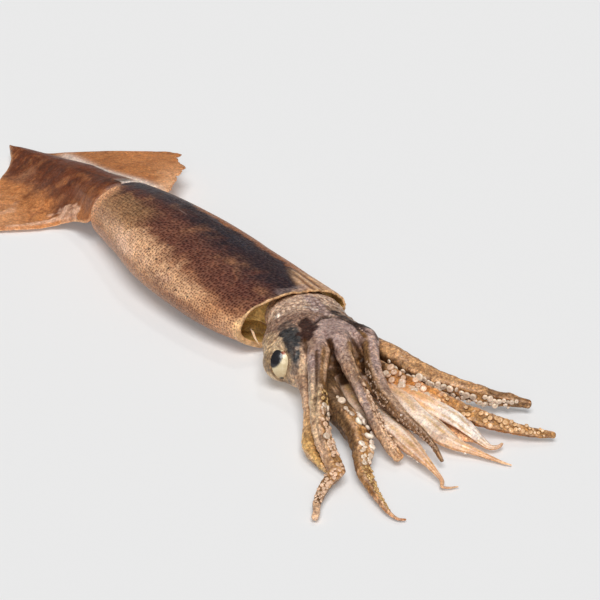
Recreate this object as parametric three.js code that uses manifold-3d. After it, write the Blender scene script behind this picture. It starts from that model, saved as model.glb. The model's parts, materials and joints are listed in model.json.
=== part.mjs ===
// A whole raw squid of the short-finned kind, lying belly down: mantle, two tail fins, head, eight arms
// and two tentacles in one body, and two eyeballs in their sockets.
// Millimetres. +X runs from the tail to the head, +Y to the squid's own left, and +Z is up. The origin is
// on the table, in the middle of the flat strip that the belly rests on.
import * as THREE from "three";
import { mergeVertices } from "three/addons/utils/BufferGeometryUtils.js";
import Module from "manifold-3d";

// ---- Driving dimensions ----

const MANTLE_LENGTH = 240;
const RIM_X = 80;
const TAIL_X = RIM_X - MANTLE_LENGTH;
const MANTLE_WALL = 1.8;
const OPENING_DEPTH = 16;

// The mantle from the tail to the rim: share of its length, sideways place of its middle, half-width,
// half-height, and how high its belly is off the table. A little below zero is pressed flat.
const MANTLE_STATIONS = [
  [0.0, 2.5, 3.2, 2.6, 1.8],
  [0.12, 4, 7, 5, 1.4],
  [0.25, 5, 10.6, 7.8, 0.8],
  [0.36, 4, 12.6, 9.8, 0.2],
  [0.42, 2.9, 14.3, 11.2, -0.1],
  [0.58, 0.9, 19.6, 13.8, -0.3],
  [0.71, 0, 24.5, 13.9, -0.3],
  [0.83, 1, 26, 12.7, -0.3],
  [0.94, 3, 25, 11.7, -0.3],
  [1.0, 5, 23, 11.2, -0.1],
];

// How far the rim reaches past the mantle's length: all round, and more at its top and at its left side
// than at the bottom and the right. The last part of the mantle follows it.
const RIM_REACH = 1.3;
const RIM_LOBE_TOP = 1.2;
const RIM_LOBE_LEFT = 1;
const RIM_LOBE_START = 0.8;

// The head from inside the mantle to the crown of arms: place along X, then as above.
const HEAD_STATIONS = [
  [62, 6, 10, 6.5, 4],
  [80, 5, 12.5, 8.5, 2.2],
  [92, 2.2, 17.2, 9.8, 0.6],
  [108, -0.8, 20.6, 11, -0.1],
  [120, -1.5, 20, 10.6, 0],
  [130, -3, 12.5, 7, 2.4],
];

// Each fin is a sheet between its rear edge and its front edge, each from the back of the mantle outwards.
const FINS = [
  {
    rear: [[-157, 2, 4.5], [-138, -4, 5], [-104, -36.5, 1.8]],
    front: [[-58, 4, 11], [-60, -16, 3.5], [-77, -45, 1.6]],
  },
  {
    rear: [[-157, 4, 4.5], [-131, 14, 4.8], [-99, 55.5, 9.5]],
    front: [[-62, 6, 14], [-60, 28, 12.5], [-81, 49, 10]],
  },
];
const FIN_ROOT_THICKNESS = 2.6;
const FIN_EDGE_THICKNESS = 1.6;

const EYE_RADIUS = 7;
const EYE_X = 109.5;
const EYE_HEIGHT = 9.5;
const EYE_PROUD = 1;
const EYE_GAP = 0.3;

// The ten limbs: waypoints from inside the head to the tip, half-widths at even shares of the length,
// and height over width.
const LIMBS = {
  right_fourth_arm: {
    route: [[103, -8, 11], [118, -14, 10.5], [131.5, -19.5, 9], [144.5, -26, 6.5], [153.5, -30.5, 4.5],
      [164.5, -35.5, 3.5], [173, -38.5, 3]],
    halfWidths: [3.5, 4, 3.2, 2.8, 2.6, 1.6],
    flatness: 0.8,
  },
  right_third_arm: {
    route: [[104, 0, 13], [124.5, -9.5, 18], [135.5, -16.5, 16], [145, -22.5, 13.5], [154.5, -28, 11],
      [161.5, -32, 9], [169.5, -35, 7], [177, -37, 5.5], [182, -38.5, 4.5], [183.5, -43, 4], [188, -48, 3.5],
      [192.5, -52, 3], [197.5, -55, 2.5], [199.5, -57, 2]],
    halfWidths: [5, 4.2, 3.4, 2.9, 3, 3, 2.7, 1.9, 1.5],
    flatness: 0.9,
  },
  right_tentacle: {
    route: [[108, -4, 9], [130, -11, 8], [149, -16.5, 7.5], [158, -17, 6.5], [168, -19.5, 5.5],
      [177.5, -24.5, 4.8], [184, -28.5, 4], [192.5, -31, 3.2], [202.5, -33.5, 2.5], [210, -34.5, 1.8],
      [214.5, -33.5, 1.2], [215.5, -31.5, 1]],
    halfWidths: [4, 4, 4, 4.4, 4.2, 3.2, 2.3, 1.3, 0.6],
    flatness: 0.85,
  },
  right_dorsal_arm: {
    route: [[104, 3, 13], [123.5, -0.5, 19.5], [134, -4, 18], [145, -7.5, 16], [153.5, -10, 14],
      [162.5, -12.5, 12], [169.5, -14, 9.5], [175.5, -14, 6.5], [182, -13, 3.5]],
    halfWidths: [5, 4.4, 3.2, 2.7, 2.5, 2.3, 2.1],
    flatness: 0.9,
  },
  left_dorsal_arm: {
    route: [[104, 7, 13], [124.5, 10.5, 18], [136.5, 4.5, 17], [149, -1.5, 15.5], [159, -4.5, 14],
      [166.5, -4.5, 12], [173, -4, 10], [179.5, -3, 8], [185, -3, 6], [189.5, -3, 3]],
    halfWidths: [5, 4.2, 2.6, 2.6, 2.6, 2.5, 2, 1.1],
    flatness: 0.9,
  },
  right_lower_arm: {
    route: [[106, 1, 8], [132, -3, 7.5], [150, -8, 7], [163, -8.5, 6.5], [172.5, -8, 6], [181, -8, 5],
      [189.5, -9, 4.2], [195.5, -9.5, 3.2], [200.5, -10, 2.2], [202.5, -11, 1.5], [204.5, -9, 1]],
    halfWidths: [4, 4, 3.6, 3.5, 3.3, 2.2, 1, 0.6],
    flatness: 0.85,
  },
  left_lower_arm: {
    route: [[106, 5, 8], [136, 4.5, 8], [156, 5, 8], [165.5, 5, 6.5], [174, 6.5, 5], [183, 7.5, 4],
      [189, 11, 2.8], [194.5, 14, 1.8], [199, 16, 1]],
    halfWidths: [4, 4, 3.4, 3, 2.9, 2.2, 1.2, 0.6],
    flatness: 0.85,
  },
  left_fourth_arm: {
    route: [[106, 8, 9], [134, 8, 9], [158, 9.5, 8.5], [165.5, 12, 7.5], [173, 14.5, 6], [180, 15.5, 4.5],
      [186, 16.5, 3], [190, 17.5, 2.5], [190, 20.5, 2.5]],
    halfWidths: [4, 4, 3.2, 2.8, 2.6, 1.6, 0.8],
    flatness: 0.85,
  },
  left_tentacle: {
    route: [[104, 8, 11], [124, 7, 11.5], [140.5, 8, 12], [149.5, 10.5, 11], [158, 13.5, 9.5],
      [165.5, 17, 8], [172, 20.5, 6.5], [179.5, 24.5, 5.5], [185, 29.5, 4.5], [190, 34.5, 3.5],
      [193.5, 40.5, 2.5]],
    halfWidths: [4.5, 4.2, 3.6, 3.3, 3.3, 2.8, 2.4, 1.5],
    flatness: 0.85,
  },
  left_third_arm: {
    route: [[100, 11, 11.5], [120, 15.5, 14.5], [130.5, 17.5, 14.2], [139.5, 20.5, 13], [150, 22.5, 11.5],
      [157, 26.5, 9.5], [162, 31, 8], [165.5, 36.5, 6], [169, 41, 5], [172, 45.5, 4]],
    halfWidths: [4, 4.2, 4.3, 4.5, 4.4, 3.2, 2.7, 2.2],
    flatness: 0.95,
  },
};

const MANTLE_SIDES = 32;
const MANTLE_STEPS = 30;
const HEAD_SIDES = 24;
const HEAD_STEPS = 12;
const LIMB_SIDES = 8;
const LIMB_STEP = 6;
const FIN_STEPS = 9;
const EYE_SIDES = 20;

// Vertices closer than this are one.
const MERGE_DISTANCE = 1e-4;
// The table that the soft underside is pressed flat on, wide enough for the whole animal.
const TABLE_LENGTH = 3 * MANTLE_LENGTH;
const TABLE_THICKNESS = 40;

// ---- Shapes ----

const wasm = await Module();
wasm.setup();

// A three.js geometry as a closed solid.
function solidOf(geometry) {
  const bare = geometry.clone();
  bare.deleteAttribute("normal");
  bare.deleteAttribute("uv");
  const merged = mergeVertices(bare, MERGE_DISTANCE);
  const mesh = new wasm.Mesh({
    numProp: 3,
    vertProperties: new Float32Array(merged.attributes.position.array),
    triVerts: new Uint32Array(merged.index.array),
  });
  return new wasm.Manifold(mesh);
}

// The points as three.js vectors.
function vectors(points) {
  return points.map((point) => new THREE.Vector3(...point));
}

// A closed solid as a three.js geometry with its own normals.
function geometryOf(solid) {
  const mesh = solid.getMesh();
  const geometry = new THREE.BufferGeometry();
  geometry.setAttribute("position", new THREE.BufferAttribute(mesh.vertProperties, 3));
  geometry.setIndex(new THREE.BufferAttribute(mesh.triVerts, 1));
  geometry.computeVertexNormals();
  return geometry;
}

// A smooth row of values through the stations, whose first column is the place.
function smooth(stations) {
  const places = stations.map((station) => station[0]);
  const values = stations.flatMap((station) => station.slice(1));
  const size = stations[0].length - 1;
  const interpolant = new THREE.CubicInterpolant(places, values, size, new Float32Array(size));
  return (place) => Array.from(interpolant.evaluate(place));
}

// Turns a unit lathe round the Y axis into a body whose ring j, at an angle, lies where place says.
function warpedLathe(profile, sides, place) {
  const geometry = new THREE.LatheGeometry(profile, sides);
  const position = geometry.attributes.position;
  for (let i = 0; i < position.count; i += 1) {
    const ring = i % profile.length;
    const upwards = position.getX(i);
    const sideways = position.getZ(i);
    const point = place(ring, sideways, upwards);
    position.setXYZ(i, point.x, point.y, point.z);
  }
  return geometry;
}

// The mantle is a bag: its outside runs from the tail to the rim, turns in over the wall's edge and back
// to the floor of the opening.
function makeMantle() {
  const stations = smooth(MANTLE_STATIONS);
  const depthShare = OPENING_DEPTH / MANTLE_LENGTH;
  const rings = [{ share: 0, radius: 0, inset: 0 }];
  for (let i = 0; i <= MANTLE_STEPS; i += 1) rings.push({ share: i / MANTLE_STEPS, radius: 1, inset: 0 });
  rings.push({ share: 1, radius: 1, inset: MANTLE_WALL });
  rings.push({ share: 1 - depthShare, radius: 1, inset: MANTLE_WALL });
  rings.push({ share: 1 - depthShare, radius: 0, inset: MANTLE_WALL });
  const profile = rings.map((ring, j) => new THREE.Vector2(ring.radius, j));
  return warpedLathe(profile, MANTLE_SIDES, (j, sideways, upwards) => {
    const { share, inset } = rings[j];
    const [middle, halfWidth, halfHeight, belly] = stations(share);
    const reach = RIM_REACH + RIM_LOBE_TOP * upwards + RIM_LOBE_LEFT * sideways;
    return new THREE.Vector3(
      TAIL_X + share * MANTLE_LENGTH + reach * THREE.MathUtils.smoothstep(share, RIM_LOBE_START, 1),
      middle + sideways * (halfWidth - inset),
      belly + halfHeight + upwards * (halfHeight - inset),
    );
  });
}

function makeHead() {
  const stations = smooth(HEAD_STATIONS);
  const start = HEAD_STATIONS[0][0];
  const end = HEAD_STATIONS[HEAD_STATIONS.length - 1][0];
  const rings = [start];
  for (let i = 0; i <= HEAD_STEPS; i += 1) rings.push(THREE.MathUtils.lerp(start, end, i / HEAD_STEPS));
  rings.push(end);
  const profile = rings.map((_, j) => new THREE.Vector2(j === 0 || j === rings.length - 1 ? 0 : 1, j));
  return warpedLathe(profile, HEAD_SIDES, (j, sideways, upwards) => {
    const [middle, halfWidth, halfHeight, belly] = stations(rings[j]);
    const height = belly + halfHeight + upwards * halfHeight;
    return new THREE.Vector3(rings[j], middle + sideways * halfWidth, height);
  });
}

// A limb tapers along a smooth route, on a level sideways direction and one square to it.
function makeLimb({ route, halfWidths, flatness }) {
  const curve = new THREE.CatmullRomCurve3(vectors(route), false, "centripetal");
  const steps = Math.round(curve.getLength() / LIMB_STEP);
  const girth = smooth(halfWidths.map((halfWidth, i) => [i / (halfWidths.length - 1), halfWidth]));
  const last = steps + 2;
  const profile = [];
  for (let j = 0; j <= last; j += 1) profile.push(new THREE.Vector2(j === 0 || j === last ? 0 : 1, j));
  return warpedLathe(profile, LIMB_SIDES, (j, sideways, upwards) => {
    const share = THREE.MathUtils.clamp((j - 1) / steps, 0, 1);
    const [halfWidth] = girth(share);
    const along = curve.getTangentAt(share);
    const side = new THREE.Vector3(0, 0, 1).cross(along).normalize();
    const up = along.clone().cross(side);
    return curve
      .getPointAt(share)
      .addScaledVector(side, sideways * halfWidth)
      .addScaledVector(up, upwards * halfWidth * flatness);
  });
}

// A fin is a box whose length runs from the rear edge to the front edge and whose width runs outwards.
function makeFin({ rear, front }) {
  const rearEdge = new THREE.QuadraticBezierCurve3(...vectors(rear));
  const frontEdge = new THREE.QuadraticBezierCurve3(...vectors(front));
  const onTheLeft = rear[2][1] > rear[0][1];
  const geometry = new THREE.BoxGeometry(1, 1, 1, FIN_STEPS, FIN_STEPS, 1);
  const position = geometry.attributes.position;
  for (let i = 0; i < position.count; i += 1) {
    const along = position.getX(i) + 0.5;
    const outwards = onTheLeft ? position.getY(i) + 0.5 : 0.5 - position.getY(i);
    const point = rearEdge.getPoint(outwards).lerp(frontEdge.getPoint(outwards), along);
    const thickness = THREE.MathUtils.lerp(FIN_ROOT_THICKNESS, FIN_EDGE_THICKNESS, outwards);
    position.setXYZ(i, point.x, point.y, point.z + position.getZ(i) * thickness);
  }
  return geometry;
}

function eyeCentre(sideSign) {
  const [middle, halfWidth] = smooth(HEAD_STATIONS)(EYE_X);
  const fromMiddle = halfWidth + EYE_PROUD - EYE_RADIUS;
  return new THREE.Vector3(EYE_X, middle + sideSign * fromMiddle, EYE_HEIGHT);
}

function makeBall(radius, centre) {
  return new THREE.SphereGeometry(radius, EYE_SIDES, EYE_SIDES / 2).translate(centre.x, centre.y, centre.z);
}

// Everything below the table, which presses the belly, the fin tips and the limbs flat.
function makeTable() {
  const table = new THREE.BoxGeometry(TABLE_LENGTH, TABLE_LENGTH, TABLE_THICKNESS);
  return table.translate(0, 0, -TABLE_THICKNESS / 2);
}

// ---- The squid ----

const squid = new THREE.Group();

const skinMaterial = new THREE.MeshStandardMaterial({ color: 0x8f6a50, roughness: 0.35, metalness: 0 });
const eyeMaterial = new THREE.MeshStandardMaterial({ color: 0x1c1c20, roughness: 0.1, metalness: 0 });

const flesh = [makeMantle(), makeHead(), ...FINS.map(makeFin), ...Object.values(LIMBS).map(makeLimb)];
const eyes = { eye_right: -1, eye_left: 1 };
let body = flesh.map(solidOf).reduce((whole, piece) => whole.add(piece));
body = body.subtract(solidOf(makeTable()));
for (const [name, sideSign] of Object.entries(eyes)) {
  const centre = eyeCentre(sideSign);
  body = body.subtract(solidOf(makeBall(EYE_RADIUS + EYE_GAP, centre)));
  const eyeball = new THREE.Mesh(makeBall(EYE_RADIUS, centre), eyeMaterial);
  eyeball.name = name;
  squid.add(eyeball);
}
const skin = new THREE.Mesh(geometryOf(body), skinMaterial);
skin.name = "squid";
squid.add(skin);

export default squid;
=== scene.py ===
"""A whole raw squid lying belly down: mantle, fins, head, arms, suckers, eyes and a small studio round them.

Lengths in the tables are millimetres. +X runs from the tail to the head, +Y to the squid's own left, +Z up.
"""

import collections
import itertools
import json
import math

import bpy
import numpy as np
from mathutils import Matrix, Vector
from mathutils.bvhtree import BVHTree
from mathutils.kdtree import KDTree

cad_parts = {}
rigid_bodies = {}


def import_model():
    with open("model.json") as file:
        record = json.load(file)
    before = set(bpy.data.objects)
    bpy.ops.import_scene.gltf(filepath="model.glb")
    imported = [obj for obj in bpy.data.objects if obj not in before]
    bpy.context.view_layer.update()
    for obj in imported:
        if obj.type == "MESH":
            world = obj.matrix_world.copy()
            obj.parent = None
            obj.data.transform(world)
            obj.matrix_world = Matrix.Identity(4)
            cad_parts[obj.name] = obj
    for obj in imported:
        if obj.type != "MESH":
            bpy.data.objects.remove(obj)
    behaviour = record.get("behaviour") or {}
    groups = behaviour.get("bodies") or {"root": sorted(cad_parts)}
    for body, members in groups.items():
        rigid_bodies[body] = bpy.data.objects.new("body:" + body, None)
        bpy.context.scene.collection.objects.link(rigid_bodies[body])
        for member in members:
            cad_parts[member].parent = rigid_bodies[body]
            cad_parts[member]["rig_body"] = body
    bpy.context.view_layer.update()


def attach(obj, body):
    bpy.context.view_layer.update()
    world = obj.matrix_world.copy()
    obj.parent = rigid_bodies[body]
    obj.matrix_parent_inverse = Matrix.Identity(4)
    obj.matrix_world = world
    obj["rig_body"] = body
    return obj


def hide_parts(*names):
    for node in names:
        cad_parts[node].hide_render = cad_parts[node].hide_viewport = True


bl_info = {
    "name": "Whole raw squid",
    "version": (1, 0, 0),
    "blender": (4, 5, 0),
    "location": "View3D > Sidebar > Squid",
    "description": "Builds a whole raw squid with speckled skin, torn fins and suckered arms",
    "category": "Add Mesh",
}

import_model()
BODY = "root"
MM = 0.001

# ---- Tables ----

MANTLE_LENGTH = 240.0
# Share of the mantle's length that the fins cover.
FIN_SHARE = 0.42
TAIL_X = -160.0
OPENING_DEPTH = 16.0
OPENING_INSET = 16

# Share of the mantle's length, sideways place of its middle, half-width, half-height, height of its belly.
MANTLE_STATIONS = [
    (0.0, 2.5, 3.2, 2.6, 1.8),
    (0.12, 4, 7, 5, 1.4),
    (0.25, 5, 10.6, 7.8, 0.8),
    (0.36, 4, 12.6, 9.8, 0.2),
    (0.42, 2.9, 14.3, 11.2, -0.1),
    (0.58, 0.9, 19.6, 13.8, -0.3),
    (0.71, 0, 24.5, 13.9, -0.3),
    (0.83, 1, 26, 12.7, -0.3),
    (0.94, 3, 25, 11.7, -0.3),
    (1.0, 5, 23, 11.2, -0.1),
]
RIM_REACH = 1.3
RIM_LOBE_TOP = 1.2
RIM_LOBE_LEFT = 1.0
RIM_LOBE_START = 0.8

# The few biggest black dots on the mantle.
BLACK_DOTS = [
    (22.7, -14.5, 24.1), (34, -20.6, 19.9), (5.8, -15.9, 24), (17.2, -19.8, 21.7), (25, -20.9, 20.5),
    (45.3, -23.4, 15.7), (53.1, -22.6, 15.5), (-47.9, -11.9, 17.2),
]

# Place along X, then as above, then how much further its left flank bulges.
HEAD_STATIONS = [
    (62, 6, 10, 6.5, 4, 0),
    (76, 7.2, 10.6, 8.6, 3.0, 4.1),
    (84, 6.2, 12.4, 9.6, 1.7, 6),
    (92, 3.2, 16.2, 10, 0.6, 3.5),
    (108, -0.7, 19.8, 11, -0.1, 0),
    (120, -1.4, 18.7, 10.6, 0, 0),
    (130, -3, 12.5, 7, 2.4, 0),
]

# Each fin's rear and front edges run from the tail's middle line outwards.
FIN_REAR = {
    "right": [(-160, 1.8, 5), (-155.5, 0, 3.8), (-149.5, -2.2, 1.9), (-133, -14.6, 1.8), (-118, -26.5, 1.8),
              (-104, -36.5, 1.8)],
    "left": [(-160, 1.8, 5), (-147, 6, 4.2), (-131, 17.6, 8.1), (-122.6, 29.4, 9), (-114, 42.5, 9.2),
             (-106.3, 53.9, 9.5)],
}
FIN_FRONT = {
    "right": [(-48, 2.1, 15), (-49.2, -4.6, 14), (-47.4, -10.3, 12), (-47.2, -14.2, 10.5),
              (-53.5, -14.6, 8.5), (-59.5, -14.4, 6.6), (-64.8, -16, 4.5), (-69.4, -20.9, 2.4),
              (-72, -30.2, 2), (-76.7, -40.4, 1.8), (-79.5, -46, 1.7)],
    "left": [(-48, 2.1, 15), (-46.5, 9, 13), (-48, 15, 13.2), (-51, 22, 12.8), (-57, 29.3, 12.3)],
}
# The left fin's torn outer edge, from its rear corner to its front corner.
FIN_TORN = [
    (0, -106.3, 53.9), (0.12, -99.3, 57.4), (0.17, -97.1, 53.5), (0.28, -92.5, 51.6), (0.36, -88.3, 50.2),
    (0.47, -81.0, 49.6), (0.52, -79.6, 45.6), (0.62, -74, 44.1), (0.67, -73.5, 41.5), (0.78, -68.5, 38),
    (0.9, -63, 33.6), (1, -57, 29.3),
]
# Creases in the right fin's torn front border, and the bare patches between them.
FIN_CREASES = [
    [(-76.8, -27.9, 2.8), (-84, -22.2, 2.8), (-85.4, -17.3, 4.1), (-80.1, -17.1, 4)],
    [(-74.1, -20, 3), (-75, -16.3, 4.5), (-71, -11.5, 9)],
]
FIN_BARE = [(-76.1, -18.1, 3.7), (-73.5, -15.5, 4.9), (-69.6, -13.6, 7.7), (-64.4, -12.3, 10.9),
            (-58.4, -13.4, 10.5)]
FIN_LOW = [(-76.4, -36.3, 2.9), (-73.6, -28.5, 2.6), (-73, -21.4, 2.8), (-69.4, -16.6, 4.7),
           (-61.8, -14.7, 6.5)]

EYE_X = 109.5
EYE_HEIGHT = 9.9
EYE_RADIUS = 7.0
EYE_PROUD = 1.5
# Ways out of the right eye's middle: the opening in the skin and the pupil.
EYE_OPENING_WAY = (0.70, -0.67, 0.22)
EYE_PUPIL_WAY = (0.41, -0.76, 0.52)
EYE_HALF_OPEN = 3.8
EYE_HALF_TALL = 5.5
# How far from an eye's middle its opening reaches, and how near to it the skin sinks.
OPENING_REACH = 13
SUNK_RADIUS = 6.2
PUPIL_HALF_WIDE = 2.55
PUPIL_HALF_TALL = 3.3
PUPIL_LEAN = -18

# What shapes and colours a limb: waypoints to its tip, half-widths at even shares, height over width, the way
# its suckered side faces as shares and degrees from the top towards the limb's left, degrees from that side's
# middle to each row of suckers, stretches of suckers as share of start and end, biggest radius, colour and
# share of gaps, and colours at shares along its outer side and its suckered side.
Facts = collections.namedtuple("Facts", "route half_widths flatness mouth rows cups back inner")
LIMBS = {
    "right_fourth_arm": Facts(
        [(103, -8, 11), (118, -13, 10.5), (131.5, -18.2, 9), (144.5, -24.9, 6.8), (153.5, -30.3, 5),
         (162, -35.3, 3.8), (171, -37.6, 3.2), (176, -38.2, 2.8)],
        [3.5, 4.2, 3.4, 2.9, 3.1, 3.1, 1.2], 0.8, [(0, 150), (1, 150)], 40,
        [(0.4, 0.97, 0.6, "ochre", 0.2)],
        "0 taupe, 0.35 taupe, 0.5 flesh, 0.65 lip, 0.8 straw, 1 straw",
        "0 taupe, 0.6 flesh, 1 ochre",
    ),
    "right_third_arm": Facts(
        [(104, 0, 13), (124.5, -9.5, 18), (135.5, -16.5, 16), (145, -22.5, 13.5), (154.5, -28, 11),
         (161.5, -31.6, 9), (169.5, -34.6, 7), (177, -36.6, 5.5), (181.6, -38.2, 4.5), (184.5, -43, 4),
         (189, -48.5, 3.3), (193.5, -53, 2.6), (198, -56, 2.1), (199.5, -57.5, 1.8)],
        [5, 4.4, 3.7, 3.2, 3.1, 2.9, 2.6, 1.6, 1.1], 0.85,
        [(0, 75), (0.45, 70), (0.7, 45), (0.85, 10), (1, 5)], 40,
        [(0.4, 0.48, 0.7, "straw", 0.5), (0.48, 0.51, 1.3, "cup", 0.2), (0.51, 0.73, 0.95, "flesh", 0.2),
         (0.75, 0.94, 0.85, "flesh", 0.1)],
        "0 crown, 0.3 crown, 0.45 cheek, 0.68 flesh, 0.78 rind, 0.92 brown, 1 flesh",
        "0 brown, 0.5 brown, 0.75 rind, 0.9 brown, 1 flesh",
    ),
    "right_tentacle": Facts(
        [(108, -4, 9), (130, -11, 8.5), (149, -17, 8.2), (158, -17.8, 7.2), (168, -20.5, 6),
         (177.5, -25.6, 4.9), (184, -29.5, 4.2), (192.5, -32.3, 3.2), (202, -34.6, 2.5), (209, -35.6, 1.8),
         (213.2, -34.8, 1.2), (214.2, -33, 1)],
        [4, 4, 4.2, 4.7, 4.5, 3.3, 2.2, 1.2, 0.4], 0.85, [(0, 35), (0.6, 38), (0.85, 40), (1, 40)], 42,
        [(0.4, 0.47, 1.1, "cup", 0.3), (0.47, 0.62, 1.6, "pearl", 0.12), (0.62, 0.72, 1.0, "cup", 0.2),
         (0.72, 0.94, 0.75, "straw", 0.15)],
        "0 web, 0.5 web, 0.62 brown, 0.8 rind, 1 amber",
        "0 web, 0.4 web, 0.5 rind, 0.65 rind, 0.85 brown, 1 amber",
    ),
    "right_dorsal_arm": Facts(
        [(104, 3, 13), (123.5, -0.5, 19.5), (134, -4, 18), (145, -7.5, 16), (153.5, -10, 14),
         (162.5, -12.5, 12), (169.5, -14, 9.5), (175.5, -14.4, 6.5), (181.5, -14, 3.5)],
        [5, 4.4, 3.2, 2.6, 2.3, 2.3, 1.7], 0.9, [(0, 80), (0.6, 75), (0.8, 50), (1, 30)], 45,
        [(0.6, 0.97, 1.0, "flesh", 0.35)],
        "0 crown, 0.3 crown, 0.5 taupe, 0.7 lilac, 0.85 taupe, 1 tip",
        "0 brown, 0.6 brown, 0.85 flesh, 1 tip",
    ),
    "left_dorsal_arm": Facts(
        [(104, 7, 13), (124.5, 10.5, 18), (136.5, 4.5, 17), (149, -1.5, 15.5), (159, -4.5, 14),
         (166.5, -4.5, 12), (173, -3.8, 10), (179.5, -2.4, 8), (185, -2.2, 6), (191, -3, 3.4)],
        [5, 4.2, 2.8, 2.8, 2.8, 2.3, 1.4, 0.6], 0.9, [(0, -80), (1, -80)], 45,
        [(0.42, 0.95, 0.55, "taupe", 0.3)],
        "0 crown, 0.45 crown, 0.7 taupe, 0.9 brown, 1 brown",
        # Its suckered side starts in the slot colour: painted shade where it faces the slot between the
        # dorsal arms.
        "0 slot, 0.4 brown, 0.6 taupe, 0.8 crown, 1 brown",
    ),
    "right_lower_arm": Facts(
        [(106, 1, 8), (132, -3, 7.5), (150, -8, 7), (163, -8.5, 6.5), (172.5, -8, 6), (181, -8, 5),
         (189.5, -8.6, 4.2), (195.5, -9, 3.2), (200.5, -9.6, 2.2), (203, -11, 1.4), (204, -8.8, 0.9),
         (204.5, -6, 0.7)],
        [4, 4.2, 4.8, 5.6, 5.4, 3.3, 1.2, 0.3], 0.62, [(0, 160), (1, 160)], 45,
        [(0.45, 0.8, 0.7, "pearl", 0.2)],
        "0 web, 0.4 flesh, 0.55 pearl, 0.72 flesh, 0.85 peach, 1 peach",
        "0 brown, 0.5 peach, 1 peach",
    ),
    "left_lower_arm": Facts(
        [(106, 5, 8), (136, 4.5, 8), (156, 5, 8), (165.5, 4.6, 6.5), (174, 5.8, 5), (183, 7, 4),
         (189, 10.5, 2.8), (194.5, 13.6, 1.8), (199, 16, 1.1), (201.5, 17.6, 0.8)],
        [4, 4.2, 4.6, 5.4, 5.2, 4.0, 1.7, 0.3], 0.6, [(0, 170), (1, 170)], 45,
        [(0.4, 0.85, 0.7, "pearl", 0.2)],
        "0 web, 0.4 peach, 0.5 flesh, 0.65 pearl, 0.8 flesh, 0.87 peach, 1 peach",
        "0 brown, 0.5 peach, 1 peach",
    ),
    "left_fourth_arm": Facts(
        [(106, 8, 9), (134, 8, 9), (158, 9.5, 8.5), (165.5, 12.3, 7.2), (173, 15.2, 5.8), (180, 16.2, 4.3),
         (186, 16.8, 3), (190, 17.6, 2.4), (190.5, 20.5, 2.2), (189.5, 22.5, 2.2)],
        [4, 4.2, 4.6, 5.0, 5.0, 4.2, 2.2, 0.5], 0.6, [(0, 175), (1, 175)], 45,
        [(0.45, 0.8, 0.7, "pearl", 0.2)],
        "0 orange, 0.45 orange, 0.6 peach, 0.72 blank, 0.88 blank, 1 peach",
        "0 brown, 0.5 peach, 1 peach",
    ),
    "left_tentacle": Facts(
        [(104, 8, 11), (124, 7, 11.5), (140.5, 8, 12), (149.5, 10.5, 11), (158, 13.5, 9.5), (165.5, 17, 8),
         (172, 20.5, 6.5), (179.5, 24.5, 5.5), (185, 29.5, 4.5), (190, 34.5, 3.5), (194, 40.5, 2.5)],
        [4.5, 4.2, 3.6, 3.3, 3.4, 3.0, 2.4, 1.2], 0.85, [(0, -45), (0.6, -40), (1, -35)], 40,
        [(0.38, 0.55, 1.35, "flesh", 0.35), (0.55, 0.97, 0.95, "lip", 0.35)],
        "0 brown, 0.35 rind, 0.55 orange, 0.8 orange, 1 rind",
        "0 brown, 0.35 rind, 0.5 orange, 0.7 rind, 1 rind",
    ),
    "left_third_arm": Facts(
        [(100, 10, 10.5), (120, 14, 12.7), (130.5, 16.2, 12.7), (139.5, 18.6, 11), (150, 21.2, 10),
         (157, 26.2, 9), (162, 31, 7.6), (165.5, 36.5, 6), (169, 41, 5), (172.5, 46, 4)],
        [4, 4.1, 4.2, 4.3, 4.2, 3.4, 2.9, 1.5], 0.95, [(0, -120), (0.6, -112), (1, -105)], 40,
        [(0.4, 0.62, 1.15, "cup", 0.5), (0.62, 0.95, 1.25, "cup", 0.15)],
        "0 rind, 0.35 tip, 0.8 tip, 1 brown",
        "0 brown, 0.4 brown, 0.55 rind, 0.8 rind, 1 brown",
    ),
}

# Single suckers that sit between the rows: a place near the skin and a radius.
LOOSE_CUPS = [
    (151.2, -17.1, 12, 1.5), (148.1, -16.4, 13, 0.6), (167.8, -32.3, 10.5, 1.3), (142.8, 6.6, 13, 1.3),
    (145.2, 9.2, 12.5, 1.9), (149.4, 15.7, 11.5, 1.6), (151.3, 7.7, 11.5, 1.6), (156.1, 9.2, 11, 1.6),
    (160.1, 12.1, 10, 1.5), (155.9, 19.1, 9.5, 1.6), (151.6, 18.3, 11, 1.1), (153.7, 15.5, 10, 0.9),
    (141, 9.5, 13, 1.2), (147.5, 12, 12, 1.3),
]

# Webs of skin between two limbs: how far each reaches along them in shares, and how deep its edge is cut in.
WEBS = [
    ("right_fourth_arm", "right_third_arm", 0.6, 0.45, 0.1),
    ("right_third_arm", "right_tentacle", 0.5, 0.62, 0.16),
    ("right_tentacle", "right_dorsal_arm", 0.3, 0.3, 0.3),
    ("right_dorsal_arm", "left_dorsal_arm", 0.27, 0.25, 0.3),
    ("left_dorsal_arm", "left_third_arm", 0.3, 0.35, 0.2),
    ("left_third_arm", "left_tentacle", 0.5, 0.45, 0.2),
    ("left_tentacle", "left_fourth_arm", 0.6, 0.72, 0.15),
    ("left_fourth_arm", "left_lower_arm", 0.93, 0.84, 0.1),
]

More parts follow.
